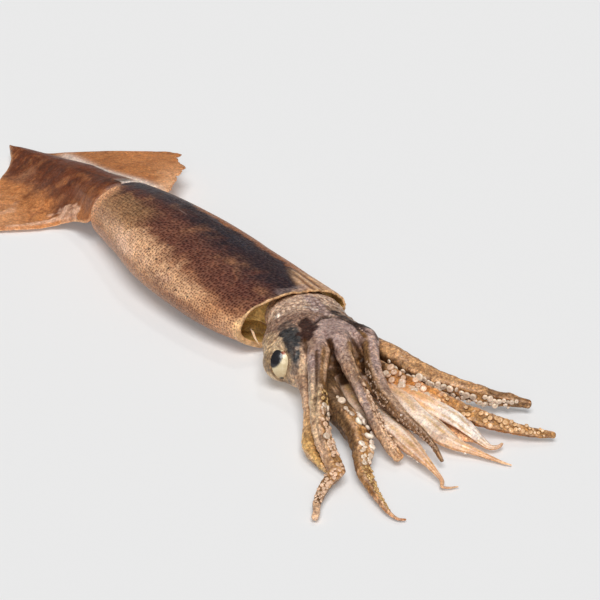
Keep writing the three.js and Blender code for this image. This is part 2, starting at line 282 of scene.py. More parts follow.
# Colours by name. What they are for comes first, but any piece may use any of them.
PALETTE = dict(
    # Mantle
    night="271922", steel="2f3540", maroon="562e26", umber="6f4434", tan="ad7c58", sand="dab18c",
    blush="efc6aa", belly="b48f72", amber="a2663a", lip="e6bb8b", lining="cba765", shoulder="d79e76",
    # Fins
    rust="6b3519", ridge="30231f", copper="c07f4c", apricot="eeb78a",
    # Head
    neck="d2b9a5", ring_skin="a08474", lilac="aa9692", blotch="38201a", crown="ac958f", slate="3e4042",
    cheek="d8bf9b",
    # Arms
    taupe="ae9078", ochre="c39f6c", straw="d0a86c", web="6e553b", brown="80603f", rind="b08350",
    slot="44280f", orange="c48040", flesh="e2bd9e", pearl="f6e4d2", blank="fbefe4", peach="eab588",
    tip="c2976c", cup="e9d2ba",
    # Eyes and floor
    pupil="242327", iris="dccba6", blood="8e3b22", floor="dadada",
)


# ---- Settings in the sidebar ----


def setting(name, description, default, **more):
    return bpy.props.FloatProperty(name=name, description=description, default=default, **more)


def length(name, description, default):
    return setting(name, description, default * MM, unit="LENGTH", precision=5)


def angle(name, description, degrees):
    return setting(name, description, math.radians(degrees), subtype="ANGLE")


def swatch(name, hexes):
    """A colour from six hex digits, kept as it shows on a screen."""
    shares = [int(hexes[i : i + 2], 16) / 255 for i in (0, 2, 4)]
    shown = name.replace("_", " ").capitalize()
    about = f"The colour {shown.lower()}"
    return bpy.props.FloatVectorProperty(
        name=shown, description=about, default=shares, subtype="COLOR_GAMMA", min=0, max=1
    )


class RAWSQUID_PG_sizes(bpy.types.PropertyGroup):
    """Sizes that shape the squid's skin and its small parts."""

    wall: length("Mantle wall", "Thickness of the mantle at its rim", 2.3)
    shoulder: length("Shoulder", "How deep the mantle lies below the fin skin at the tail", 2.2)
    wrinkles: length("Wrinkles", "Depth of the mantle's soft wrinkles", 0.22)
    fin_root: length("Fin root", "Thickness of the fins at the tail", 2.2)
    fin_edge: length("Fin edge", "Thickness of the fins at their outer edges", 1.1)
    web: length("Web", "Thickness of the webs between the arms", 1.5)
    lid: length("Eyelid", "Radius of the skin round each eyeball", 7.2)
    voxel: length("Fusing step", "Grain at which head, arm roots and webs are fused", 0.45)
    crack: length("Crack", "Depth of the crack round the crown", 0.9)
    dot_spacing: length("Dot spacing", "Distance between the small dots in the skin", 1.2)
    cup_scale: setting("Sucker size", "Size of the suckers against the table's radii", 1.0, subtype="FACTOR")


class RAWSQUID_PG_studio(bpy.types.PropertyGroup):
    """Camera, lights and floor."""

    azimuth: angle("Azimuth", "Camera's way round the squid", 58.7)
    elevation: angle("Elevation", "Camera's height above the horizon", 23.5)
    distance: length("Distance", "From the mantle's rim to the camera", 830.25)
    lens: setting("Lens", "Focal length in millimetres", 135.0)
    key: setting("Key light", "Strength of the soft light from above", 2.6)
    fill: setting("Fill light", "Strength of the light from the front", 0.6)
    glint: setting("Glint", "Strength of the small lamp for wet highlights", 0.25)
    sky: setting("Surroundings", "Brightness of the surroundings", 0.13)
    glow: setting("Floor glow", "Light that the pale floor gives off", 0.14)


class RAWSQUID_PG_colours(bpy.types.PropertyGroup):
    """Colours of the squid's skin, arms, eyes and floor."""

    __annotations__ = {name: swatch(name, hexes) for name, hexes in PALETTE.items()}


def sizes():
    return bpy.context.scene.rawsquid_sizes


def millimetres(name):
    """A size from the sidebar, in millimetres."""
    return getattr(sizes(), name) / MM


def colour(name):
    """A colour from the sidebar as linear light."""
    shown = np.array(getattr(bpy.context.scene.rawsquid_colours, name))
    return np.where(shown <= 0.04045, shown / 12.92, ((shown + 0.055) / 1.055) ** 2.4)


# ---- Curves and noise ----


def step(value, low, high):
    """0 below low, 1 above high and smooth between."""
    share = np.clip((value - low) / (high - low), 0, 1)
    return share * share * (3 - 2 * share)


def fade(value, low, high):
    return 1 - step(value, low, high)


def band(value, low, high, soft):
    """1 between low and high and 0 outside, with soft edges."""
    return step(value, low - soft, low + soft) * fade(value, high - soft, high + soft)


def hump(value, middle, width):
    return np.exp(-(((value - middle) / width) ** 2))


def smooth_floor(height, lowest, soft=0.35):
    """The height, bent smoothly so that it stays above the lowest."""
    return lowest + soft * np.logaddexp(0, (height - lowest) / soft)


def smooth_max(a, b, soft):
    return soft * np.logaddexp(a / soft, b / soft)


def through(stations, places):
    """Smooth values at the places, through stations whose first column is the place."""
    rows = np.array(stations, float)
    knots, values = rows[:, 0], rows[:, 1:]
    slopes = np.gradient(values, knots, axis=0)
    places = np.clip(places, knots[0], knots[-1])
    index = np.clip(np.searchsorted(knots, places, side="right") - 1, 0, len(knots) - 2)
    span = (knots[index + 1] - knots[index])[..., None]
    t = (places - knots[index])[..., None] / span
    start = (1 + 2 * t) * (1 - t) ** 2 * values[index] + t * (1 - t) ** 2 * span * slopes[index]
    return start + t * t * (3 - 2 * t) * values[index + 1] + t * t * (t - 1) * span * slopes[index + 1]


def cloud(points, size, seed):
    """Smooth noise between -1 and 1 at points, with lumps about one size wide."""
    side, offset = 32, 500.5
    table = np.random.default_rng(seed).uniform(-1, 1, (side, side, side))
    where = np.asarray(points) / size + offset
    cell = np.floor(where).astype(int)
    part = where - cell
    part = part * part * (3 - 2 * part)
    total = np.zeros(where.shape[:-1])
    for corner in itertools.product((0, 1), repeat=3):
        weight = np.prod(np.where(corner, part, 1 - part), axis=-1)
        index = (cell + corner) % side
        total += weight * table[index[..., 0], index[..., 1], index[..., 2]]
    return total


def clouds(points, size, seed, octaves=3):
    """Noise whose finer lumps are half as wide and half as strong each."""
    layers = [cloud(points, size / 2**i, seed + i) / 2**i for i in range(octaves)]
    return sum(layers) / 1.5


def unit(vectors):
    return vectors / np.maximum(np.linalg.norm(vectors, axis=-1, keepdims=True), 1e-9)


def spots(*coordinates):
    """Points from coordinates that broadcast."""
    return np.stack(np.broadcast_arrays(*coordinates), -1)


def all_round(count):
    """Angles of a ring's points."""
    return np.linspace(-np.pi, np.pi, count, endpoint=False)[None, :]


def lengths_along(points):
    return np.concatenate([[0], np.cumsum(np.linalg.norm(np.diff(points, axis=0), axis=1))])


def each_column(places, knots, rows):
    """The rows' columns at places between their knots, in straight pieces."""
    return np.stack([np.interp(places, knots, column) for column in np.asarray(rows, float).T], -1)


def along_path(points, shares):
    """Places on a smooth curve through the points, at shares of its length."""
    knots = lengths_along(points)
    return through(np.column_stack([knots / knots[-1], points]), shares)


def from_path(points, path):
    """Distance of each point from a path of straight pieces."""
    path = np.array(path, float)
    if len(path) == 1:
        return np.linalg.norm(points - path[0], axis=-1)
    nearest = np.full(points.shape[:-1], np.inf)
    for a, b in zip(path[:-1], path[1:]):
        along = np.clip(((points - a) @ (b - a)) / max((b - a) @ (b - a), 1e-9), 0, 1)
        nearest = np.minimum(nearest, np.linalg.norm(points - a - along[..., None] * (b - a), axis=-1))
    return nearest


def skin_of(points, faces):
    return BVHTree.FromPolygons(points.tolist(), faces)


def settled(path, skin, stride=0.8):
    """The path in short strides, each moved to the nearest place on the skin."""
    lengths = lengths_along(path)
    along = np.linspace(0, lengths[-1], math.ceil(lengths[-1] / stride) + 1)
    return [tuple(skin.find_nearest(Vector(place))[0]) for place in each_column(along, lengths, path)]


class Paint:
    """Colours and dots on the points of a piece."""

    def __init__(self, points, base):
        self.points = points
        self.tint = np.broadcast_to(colour(base), points.shape).copy()
        self.speckle = np.ones(points.shape[:-1])
        self.skin = None

    def wash(self, name, weight):
        """Lays a colour over the piece, as strong as the weight."""
        weight = np.clip(weight, 0, 1)[..., None]
        self.tint += (colour(name) - self.tint) * weight

    def washes(self, rows):
        for name, weight in rows:
            self.wash(name, weight)

    def stroke(self, name, path, radius, strength=1.0, ragged=0.35, soft=0.55, seed=3):
        """Draws a stroke of colour with soft or crisp edges along a path in millimetres."""
        path = settled(path, self.skin) if self.skin else path
        distance = from_path(self.points, path) * (1 + ragged * clouds(self.points, 3.0, seed))
        self.wash(name, strength * fade(distance, radius * (1 - soft), radius))

    def shade(self, factor):
        self.tint *= np.asarray(factor)[..., None]


def colours_along(stops, shares):
    """Colours at the shares, between stops such as "0 brown, 1 tip"."""
    places, names = zip(*(stop.split() for stop in stops.split(",")))
    return each_column(shares, [float(place) for place in places], [colour(name) for name in names])


# ---- Meshes ----


def tube_faces(rows, columns):
    """Quads of a tube of rings, and the triangles to a pole before its first and after its last ring."""
    r, c = np.meshgrid(np.arange(rows - 1), np.arange(columns), indexing="ij")
    here, ahead = r * columns + c, r * columns + (c + 1) % columns
    quads = np.stack([here, ahead, ahead + columns, here + columns], -1)
    first, last, end = rows * columns, rows * columns + 1, (rows - 1) * columns
    ring = [(a, (a + 1) % columns) for a in range(columns)]
    caps = [(first, b, a) for a, b in ring] + [(last, end + a, end + b) for a, b in ring]
    return quads.reshape(-1, 4).tolist() + caps


def closed_tube(grid):
    """Points and faces of a closed tube from its rings."""
    return with_poles(grid), tube_faces(*grid.shape[:2])


def with_poles(values):
    """Values on a tube's rings, with those of its two poles added at the end."""
    flat = values.reshape(-1, *values.shape[2:])
    return np.concatenate([flat, values[0].mean(0)[None], values[-1].mean(0)[None]])


def slab(top, bottom):
    """Points and faces of a thin closed slab between two equal grids of points."""
    rows, columns = top.shape[:2]
    count = rows * columns
    r, c = np.meshgrid(np.arange(rows - 1), np.arange(columns - 1), indexing="ij")
    a = r * columns + c
    upper = np.stack([a, a + 1, a + columns + 1, a + columns], -1).reshape(-1, 4)
    lower = upper[:, ::-1] + count
    index = np.arange(count).reshape(rows, columns)
    border = np.concatenate([index[0], index[1:, -1], index[-1, -2::-1], index[-2:0:-1, 0]])
    ahead = np.roll(border, -1)
    walls = np.stack([ahead, border, border + count, ahead + count], -1)
    points = np.concatenate([top.reshape(-1, 3), bottom.reshape(-1, 3)])
    return points, np.concatenate([upper, lower, walls]).tolist()


def sheet(middle, thickness):
    """Points and faces of a slab of even thickness round a grid of points."""
    spread = unit(np.cross(np.gradient(middle, axis=0), np.gradient(middle, axis=1)))
    return slab(middle + spread * thickness / 2, middle - spread * thickness / 2)


def together(parts):
    """Points and faces of several closed parts in one."""
    points, faces, offset = [], [], 0
    for part_points, part_faces in parts:
        points.append(part_points)
        faces += [tuple(i + offset for i in face) for face in part_faces]
        offset += len(part_points)
    return np.concatenate(points), faces


def parts_of(mesh):
    return points_of(mesh), [tuple(face.vertices) for face in mesh.polygons]


def raw_mesh(name, points, faces):
    """A mesh in metres from points in millimetres."""
    mesh = bpy.data.meshes.new(name)
    mesh.from_pydata((points * MM).tolist(), [], faces)
    return mesh


def smoothed(mesh):
    mesh.polygons.foreach_set("use_smooth", [True] * len(mesh.polygons))
    mesh.update()
    return mesh


def inside_out(mesh, points):
    """Whether the faces of a closed mesh look inwards."""
    mesh.calc_loop_triangles()
    corners = numbers(mesh.loop_triangles, "vertices", 3, np.int32).ravel()
    a, b, c = (points[corners[i::3]] for i in range(3))
    return np.einsum("ij,ij->", a, np.cross(b, c)) < 0


def new_mesh(name, points, faces):
    """A smooth mesh with its faces outwards."""
    mesh = raw_mesh(name, points, faces)
    if inside_out(mesh, points):
        mesh.flip_normals()
    return smoothed(mesh)


def store(mesh, name, kind, key, values):
    mesh.attributes.new(name, kind, "POINT").data.foreach_set(key, np.ravel(values).astype(np.float32))


def set_layers(mesh, **layers):
    """Stores numbers, or colours, on the mesh's points."""
    for name, values in layers.items():
        if values.ndim == 1:
            store(mesh, name, "FLOAT", "value", values)
        else:
            opaque = np.ones((len(values), 1))
            store(mesh, name, "FLOAT_COLOR", "color", np.hstack([np.clip(values, 0, 1), opaque]))


def new_object(name, data):
    thing = bpy.data.objects.new(name, data)
    bpy.context.scene.collection.objects.link(thing)
    return thing


def baked(thing):
    """The object's mesh with its modifiers applied. The object itself goes."""
    source = thing.data
    result = bpy.data.meshes.new_from_object(thing.evaluated_get(bpy.context.evaluated_depsgraph_get()))
    thing.modifiers.clear()
    bpy.data.objects.remove(thing)
    bpy.data.meshes.remove(source)
    return result


def new_piece(name, mesh, material, slot, *nodes):
    """A piece that rides on the body and stands for CAD nodes."""
    mesh.materials.clear()
    mesh.materials.append(material)
    piece = new_object(name, mesh)
    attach(piece, BODY)
    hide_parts(*nodes)
    return piece


def numbers(data, key, width, kind=np.float32):
    flat = np.empty(len(data) * width, kind)
    data.foreach_get(key, flat)
    return flat.reshape(-1, width)


def points_of(mesh):
    """The mesh's points in millimetres."""
    return numbers(mesh.vertices, "co", 3).astype(float) / MM


def normals_of(mesh):
    return numbers(mesh.vertex_normals, "vector", 3).astype(float)


# ---- Node trees ----


class Wire:
    """A socket that Python arithmetic adds Math nodes to."""

    def __init__(self, tree, socket):
        self.tree, self.socket = tree, socket


for verb, operation in {"add": "ADD", "sub": "SUBTRACT", "mul": "MULTIPLY"}.items():
    setattr(Wire, f"__{verb}__", lambda a, b, kind=operation: a.tree.math(kind, a, b))
    setattr(Wire, f"__r{verb}__", lambda a, b, kind=operation: a.tree.math(kind, b, a))


class Tree:
    """Adds nodes to a shader or geometry tree."""

    def __init__(self, owner):
        self.owner = owner

    def node(self, kind, inputs=None, **settings):
        """A node of a type, with its settings, then the values or wires of its sockets by identifier."""
        node = self.owner.nodes.new(kind)
        for name, value in settings.items():
            setattr(node, name, value)
        sockets = {socket.identifier: socket for socket in node.inputs}
        for name, value in (inputs or {}).items():
            if isinstance(value, Wire):
                self.owner.links.new(value.socket, sockets[name])
            else:
                sockets[name].default_value = value
        return node

    def wire(self, kind, inputs=None, output=0, **settings):
        return Wire(self, self.node(kind, inputs, **settings).outputs[output])

    def math(self, operation, *values):
        names = ("Value", "Value_001", "Value_002")
        return self.wire("ShaderNodeMath", dict(zip(names, values)), operation=operation)

    def step(self, value, low, high):
        """0 below low, 1 above high and smooth between."""
        inputs = {"Value": value, "From Min": low, "From Max": high}
        return self.wire("ShaderNodeMapRange", inputs, interpolation_type="SMOOTHSTEP")

    def tinted(self, tint, share, factors, blend="MULTIPLY"):
        """A colour blended with three factors, as far as the share says."""
        inputs = {"Factor_Float": share, "A_Color": tint, "B_Color": (*factors, 1)}
        mixer = self.node("ShaderNodeMix", inputs, data_type="RGBA", blend_type=blend)
        return next(Wire(self, output) for output in mixer.outputs if output.identifier == "Result_Color")

    def attribute(self, name, output="Fac"):
        return self.wire("ShaderNodeAttribute", output=output, attribute_name=name)

    def noise(self, size, detail=2.0, roughness=0.5):
        """Noise between 0 and 1 with lumps of a size in metres."""
        inputs = {"Vector": self.place(), "Scale": 1 / size, "Detail": detail, "Roughness": roughness}
        return self.wire("ShaderNodeTexNoise", inputs)

    def place(self):
        return self.wire("ShaderNodeTexCoord", output="Object")

    def cells(self, vector, size, randomness=1.0, **settings):
        """Distance from the nearest scattered point, in shares of their spacing, and its random number."""
        inputs = {"Vector": vector, "Scale": 1 / size, "Randomness": randomness}
        node = self.node("ShaderNodeTexVoronoi", inputs, **settings)
        chance = self.wire("ShaderNodeSeparateColor", {"Color": Wire(self, node.outputs["Color"])})
        return Wire(self, node.outputs["Distance"]), chance

    def bump(self, strength, distance, height):
        return self.wire("ShaderNodeBump", {"Strength": strength, "Distance": distance, "Height": height})

    def surface(self, inputs, **settings):
        shader = self.wire("ShaderNodeBsdfPrincipled", inputs, **settings)
        self.node("ShaderNodeOutputMaterial", {"Surface": shader})


def empty_tree(owner):
    """A helper for the emptied node tree of a material or world."""
    owner.use_nodes = True
    owner.node_tree.nodes.clear()
    return Tree(owner.node_tree)


# Strengths of each skin's dots and relief, its roughness, its wet coat, how much light scatters under it, and
# the strengths of its freckles and its grit.
SKINS = {
    "Mantle skin": (1.0, 1.0, 0.42, 0.14, 0.1, 0.8, 0.4),
    "Fin skin": (0.55, 0.55, 0.45, 0.1, 0.12, 0.1, 0.36),
    "Arm skin": (0.35, 1.6, 0.4, 0.18, 0.1, 0.3, 0.85),
    "Pale arm skin": (0.3, 1.2, 0.4, 0.2, 0.15, 0.1, 0.22),
    "Head skin": (0.5, 1.5, 0.4, 0.2, 0.1, 0.15, 0.8),
    "Membrane": (0.2, 0.6, 0.25, 0.6, 0.2, 0.0, 0.2),
}


def skin_material(name, chart=False, net=False):
    """Wet skin: painted colour, cloudy mottling, small dots, painted shade in hollows and a fine relief."""
    dots, relief, roughness, coat, scatter, freckles, grit = SKINS[name]
    material = bpy.data.materials.new(name)
    tree = empty_tree(material)
    place = tree.place()
    speckle = tree.attribute("speckle") * dots
    hollow = tree.attribute("hollow")
    spacing = sizes().dot_spacing
    tint = tree.attribute("tint", "Color")
    cloudy, patchy = tree.noise(0.0075, 5.0, 0.66), tree.noise(0.0026, 3.0, 0.6)
    fine, grainy = tree.noise(0.0007, 3.0, 0.65), tree.noise(0.0014, 4.0, 0.72)
    mottling = (
        (cloudy, 0.46, 0.7, 0.5, (0.55, 0.44, 0.4)),
        (cloudy, 0.5, 0.25, 0.3, (1.35, 1.24, 1.12)),
        (patchy, 0.5, 0.7, 0.45, (0.6, 0.5, 0.46)),
        (patchy, 0.5, 0.3, 0.35, (1.3, 1.22, 1.14)),
        (fine, 0.5, 0.75, 0.4, (0.5, 0.4, 0.36)),
        (fine, 0.5, 0.25, 0.4, (1.6, 1.5, 1.4)),
        (grainy, 0.5, 0.64, grit, (0.58, 0.45, 0.4)),
        (grainy, 0.5, 0.38, grit, (1.7, 1.6, 1.42)),
    )
    for lumps, start, full, strength, factors in mottling:
        tint = tree.tinted(tint, tree.step(lumps, start, full) * strength, factors)
    if chart:
        lie = tree.attribute("chart", "Vector")
        near, chance = tree.cells(lie, spacing, 0.6, voronoi_dimensions="2D")
        dot = (1 - tree.step(near - chance * 0.12, 0.08, 0.3)) * (0.5 + 0.5 * tree.step(chance, 0.1, 0.6))
        gaps = tree.step(near, 0.36, 0.6)
    else:
        near, chance = tree.cells(place, spacing * 0.9)
        dot = 1 - tree.step(near - chance * 0.16, 0.14, 0.34)
        gaps = tree.step(near, 0.5, 0.8)
    tint = tree.tinted(tint, dot * speckle * 0.85, (0.32, 0.22, 0.2))
    tint = tree.tinted(tint, gaps * speckle * 0.45, (1.5, 1.42, 1.3))
    tint = tree.tinted(tint, gaps * speckle, (0.04, 0.028, 0.02), "SCREEN")
    far, rare = tree.cells(place, spacing * 4.6)
    freckle = (1 - tree.step(far, 0.045, 0.09)) * tree.step(rare, 0.42, 0.5)
    tint = tree.tinted(tint, freckle * speckle * freckles, (0.08, 0.05, 0.05))
    # Painted shade: points closed in by other skin, from the hollow layer, are darkened brown.
    tint = tree.tinted(tint, tree.step(hollow, 0.15, 0.8) * 0.8, (0.3, 0.19, 0.1))
    if net:
        mesh_near = tree.cells(place, 0.0015)[0]
        netted = tree.attribute("net")
        tint = tree.tinted(tint, tree.step(mesh_near, 0.42, 0.66) * netted * 0.7, (0.42, 0.33, 0.3))
        tint = tree.tinted(tint, tree.step(mesh_near, 0.36, 0.15) * netted * 0.5, (1.45, 1.4, 1.28))

    wet = tree.noise(0.004)
    height = fine * (0.15 * relief) + patchy * relief + cloudy * 0.6 - dot * (0.1 * relief)
    tree.surface({
        "Base Color": tint,
        "Roughness": roughness + (wet - 0.5) * 0.3 + hollow * 0.2,
        "Subsurface Weight": scatter,
        "Subsurface Radius": (1.0, 0.45, 0.25),
        "Subsurface Scale": 0.0015,
        "Coat Weight": tree.step(wet, 0.42, 0.7) * coat,
        "Coat Roughness": 0.12,
        "Specular IOR Level": 0.24,
        "Normal": tree.bump(0.7, 0.0006, height),
    }, subsurface_method="RANDOM_WALK")
    return material


# ---- Mantle ----


def mantle_section(shares):
    return np.moveaxis(through(MANTLE_STATIONS, shares), -1, 0)


def mantle_surface(shares, angles, inset):
    """Points on the mantle: shares of its length and angles from its back, to the left. All broadcast."""
    middle, half_width, half_height, belly = mantle_section(shares)
    sideways, upwards = np.sin(angles), np.cos(angles)
    reach = RIM_REACH + RIM_LOBE_TOP * upwards + RIM_LOBE_LEFT * sideways
    x = TAIL_X + shares * MANTLE_LENGTH + reach * step(shares, RIM_LOBE_START, 1)
    y = middle + sideways * (half_width - inset)
    z = belly + half_height + upwards * (half_height - inset)
    return spots(x, y, z)


def rim_wall(angles):
    """Thickness of the rim: thin over the head, thicker low on its right."""
    degrees = np.degrees(angles)
    low_right = band(degrees, -165, -62, 16)
    return millimetres("wall") * (0.42 + 0.58 * low_right)


def build_mantle():
    covered_rows, shown_rows, edge_rows, lining_rows, columns = 44, 330, 11, 26, 224
    covered = np.linspace(0.0, FIN_SHARE, covered_rows)[:-1]
    shown = np.linspace(FIN_SHARE, 1.0, shown_rows)
    turn = np.linspace(0, np.pi, edge_rows)[1:-1]
    inward = np.linspace(0, 1, lining_rows)
    angles = all_round(columns)
    wall = rim_wall(angles)
    skin_rows = len(covered) + len(shown)
    floor_rows = np.array([0.22, 0.5, 0.8])[:, None]
    count = skin_rows + len(turn) + len(inward) + len(floor_rows)
    outside = np.arange(count) < skin_rows

    depth = OPENING_DEPTH * (0.42 + 0.5 * band(np.degrees(angles), -170, -96, 14))
    shares = np.concatenate([
        np.repeat(np.concatenate([covered, shown, np.ones(len(turn))])[:, None], columns, 1),
        1 - inward[:, None] * depth / MANTLE_LENGTH,
        1 - (1 - 0.55 * floor_rows) * depth / MANTLE_LENGTH,
    ])
    insets = np.concatenate([
        np.zeros((skin_rows, columns)),
        wall / 2 * (1 - np.cos(turn))[:, None],
        np.repeat(wall, len(inward), 0),
        wall + OPENING_INSET * floor_rows,
    ])
    bulge = np.zeros((count, columns))
    bulge[skin_rows : skin_rows + len(turn)] = wall / 2 * np.sin(turn)[:, None]

    grid = mantle_surface(shares, angles, insets)
    x = grid[..., 0]
    degrees = np.degrees(angles) + 0 * x
    outwards = unit(spots(0 * x, np.sin(angles), np.cos(angles)))
    ragged = 0.9 * cloud(spots(0 * x, 12 * np.sin(angles), 12 * np.cos(angles)), 7.0, 5)
    under_fins = fade(x, -50.5 + ragged, -44.5 + ragged)
    lift = -millimetres("shoulder") * under_fins
    stretched = grid * (0.28, 1, 1)
    lift += millimetres("wrinkles") * clouds(stretched, 6.0, 11) * (1 - under_fins)
    near_rim = step(x, 40, 78)
    lift += 0.3 * near_rim * clouds(grid * (0.2, 1, 1), 3.2, 17)
    flap_start = np.interp(x, [58, 82], [34, 10])
    flap = step(degrees, flap_start - 5, flap_start + 8) * fade(degrees, 92, 115)
    flap = flap * step(x, 58, 70)
    streaks = 0.5 + 0.5 * np.sin(np.radians(degrees) * 30 + 0.04 * x + 4 * clouds(stretched, 5.0, 19))
    lift += 0.35 * flap * (streaks - 0.5)
    lift -= 0.5 * hump(degrees, flap_start - 2, 4) * step(x, 52, 74)
    grid += outwards * lift[..., None]
    grid[..., 0] += bulge + near_rim * 0.7 * clouds(outwards * 14, 6.0, 23)
    grid[..., 0] += 3.5 * fade(shares, 0, 0.08)
    grid[..., 2] = smooth_floor(grid[..., 2], 0.0, 0.3)

    paint = Paint(grid, "tan")
    wash = paint.wash
    wander = 10 * clouds(stretched, 14.0, 41) + 8 * clouds(grid, 4.0, 45)
    around = degrees + wander
    night_low = np.interp(x, [-50, -32, -20, 0, 25, 42, 58, 76], [4, 11, 14, 15, 7, 2, -3, -14])
    brown_low = np.interp(x, [-50, -5, 14, 35, 58, 75], [-36, -40, -30, -36, -50, -60])

    def patch(tone, along, wide, turned, spread, strength):
        """A soft oval, with its middle and width along X and round the mantle."""
        wash(tone, hump(x, along, wide) * hump(around, turned, spread) * strength)

    far_side = step(around, 42, 60)
    wash("sand", band(around, -82, brown_low - 4, 9) * band(x, -38, 60, 12) * 0.72)
    # Painted highlight: a pale blush band where the flank faces the front.
    wash("blush", hump(around, -64, 9) * band(x, -12, 42, 10) * step(clouds(grid, 5.0, 51), -0.3, 0.5) * 0.6)
    wash("apricot", band(around, -130, -92, 9) * 0.2)
    wash("belly", step(np.abs(around), 118, 155) * 0.7)
    wash("umber", step(around, brown_low - 16, brown_low + 6) * (1 - far_side) * 0.9)
    deep = clouds(stretched, 8.0, 47)
    wash("maroon", step(around + 30 * deep, brown_low + 2, brown_low + 30) * (1 - far_side) * 0.8)
    golden = clouds(grid, 7.5, 53)
    brown_zone = step(around, brown_low - 8, brown_low + 10) * (1 - far_side)
    wash("tan", step(golden, 0.0, 0.55) * brown_zone * 0.6)
    wash("maroon", step(-golden, 0.05, 0.6) * brown_zone * 0.6)
    wash("ochre", band(x, -46, -2, 9) * band(around, -52, -12, 10) * 0.3)
    wash("tan", hump(x, -42, 9) * band(around, -44, -12, 10) * 0.4)
    patch("umber", -25, 9, -54, 10, 0.5)
    patch("umber", 32, 13, -70, 14, 0.5)
    # Painted highlight: a pale blush patch on the flank that faces the front.
    patch("blush", 2, 12, -61, 8, 0.6)
    night = step(around + 14 * clouds(grid, 4.0, 55), night_low - 26, night_low + 12)
    wash("night", night * fade(around, 34, 46) * 0.96)
    # Painted sheen: blue-grey streaks of reflected light along the top of the mantle.
    wash("steel", band(around, 6, 22, 5) * band(x, -54, -4, 8) * 0.4)
    wash("steel", band(around, 14, 28, 4) * band(x, 16, 46, 8) * 0.4)
    # Painted highlight: lilac streaks of gloss along the top, in front of the fins.
    painted_gloss = step(clouds(grid * (0.1, 1, 1), 1.6, 49), 0.3, 0.75)
    wash("lilac", painted_gloss * band(around, 2, 34, 6) * band(x, -46, 10, 8) * 0.4)
    orange_low = np.interp(x, [-30, -5, 20, 46, 60], [46, 36, 38, 41, 42])
    orange = step(around, orange_low - 5, orange_low + 5) * step(x, -30, 0)
    wash("amber", orange * fade(around, 80, 110) * 0.85)
    # Painted shade: the lower flank darkens towards the belly between x 28 and 68.
    wash("maroon", step(-around, 74, 98) * band(x, 28, 68, 10) * 0.4)
    wash("sand", band(around, -112, -70, 7) * step(x, 66, 76) * 0.35)
    wash("lip", flap * 0.75)
    # Painted light and shade on the flap's streaks: blush on their raised crests, umber in the grooves
    # between.
    wash("blush", flap * streaks**4 * 0.6)
    wash("umber", flap * (1 - streaks) ** 2 * 0.9)
    # Painted highlight: a near-white patch high on the flap.
    wash("blank", flap * step(degrees, 55, 75) * step(x, 70, 78) * 0.5)
    # Painted shade: a dark line in the groove along the flap's border.
    wash("night", hump(degrees, flap_start - 3, 3) * step(x, 54, 74) * 0.5)
    # The pale shoulder is partly its own paler skin and partly a painted highlight on its rounding; the
    # apricot line along its edge is a painted highlight.
    shoulder = band(x, -50 + ragged, -40 + ragged, 3) * fade(around, -14, 4)
    wash("shoulder", shoulder * 0.8)
    wash("apricot", hump(x, -45 + ragged, 3) * band(around, -95, -12, 12) * 0.75)
    # Painted highlight: this blush spot and the two sand bands below lie where the flank faces the front.
    patch("blush", -3, 9, -72, 8, 0.8)
    wash("sand", band(x, 0, 35, 8) * hump(around, -60, 6) * 0.7)
    wash("sand", band(x, 45, 54, 4) * hump(around, -72, 8) * 0.6)
    patch("maroon", 64, 10, -38, 12, 0.85)
    paint.stroke("lilac", [(80.5, 1.5, 22.4), (81.7, 7, 22.2), (79.5, 11.5, 22)], 3.0, 0.45)
    paint.stroke("night", [(80, 2, 22.4), (81, 6, 22.2)], 3.5, 0.35)
    paint.stroke("blush", [(82, 5.5, 22.2), (81, 9.5, 22.1)], 1.3, 0.4, 0.8, seed=9)
    patch("maroon", 29, 13, -25, 12, 0.85)
    wash("rust", under_fins)
    rim_start = 77.4 + 2 * np.cos(angles) + 1.6 * band(np.degrees(angles), -70, 20, 12)
    rim = step(x, rim_start, rim_start + 2.5)
    wash("lip", rim * (0.12 + 0.8 * band(np.degrees(angles), -150, -34, 15)) * outside[:, None])
    paint.tint[~outside] = colour("lining")
    edge = slice(skin_rows, skin_rows + len(turn))
    paint.tint[edge] = colour("lip") * (0.8 + 0.3 * cloud(grid[edge], 2.0, 57))[..., None]
    for dot in BLACK_DOTS:
        wash("pupil", fade(from_path(grid, [dot]), 0.35, 0.75))
    paint.speckle = 1 - 0.3 * step(around, night_low - 20, night_low) - 0.6 * flap
    paint.speckle = np.where(outside[:, None], np.clip(paint.speckle - 0.5 * under_fins, 0.1, 1), 0.15)

    mesh = new_mesh("mantle", *closed_tube(grid))
    # Inside the opening the shade painted into hollows is cut to a quarter.
    is_open = np.where(outside, 1.0, 0.25)[:, None] + 0 * degrees
    set_layers(mesh, tint=with_poles(paint.tint), speckle=with_poles(paint.speckle), open=with_poles(is_open))
    girth = np.mean(mantle_section(shares)[1:3], axis=0)
    store(mesh, "chart", "FLOAT_VECTOR", "vector", with_poles(spots(x, angles * girth, 0 * x)) * MM)
    return new_piece("mantle", mesh, skin_material("Mantle skin", chart=True), "mantle_skin", "squid")


# ---- Fins ----


def tail_height(x, y, slope):
    """Height of the skin that drapes over the mantle's tail and falls to both sides."""
    shares = np.clip((x - TAIL_X) / MANTLE_LENGTH, 0, 1)
    middle, half_width, half_height, belly = mantle_section(shares)
    across = np.abs(y - middle) / half_width
    shoulder = 0.86
    dome = np.sqrt(1 - np.minimum(across, shoulder) ** 2) * half_height
    blunt = 2.0 * fade(x, TAIL_X, TAIL_X + 9) + 1.3 * band(x, TAIL_X, TAIL_X + 62, 12)
    return belly + half_height + dome - blunt - slope * np.clip(across - shoulder, 0, None) * half_height


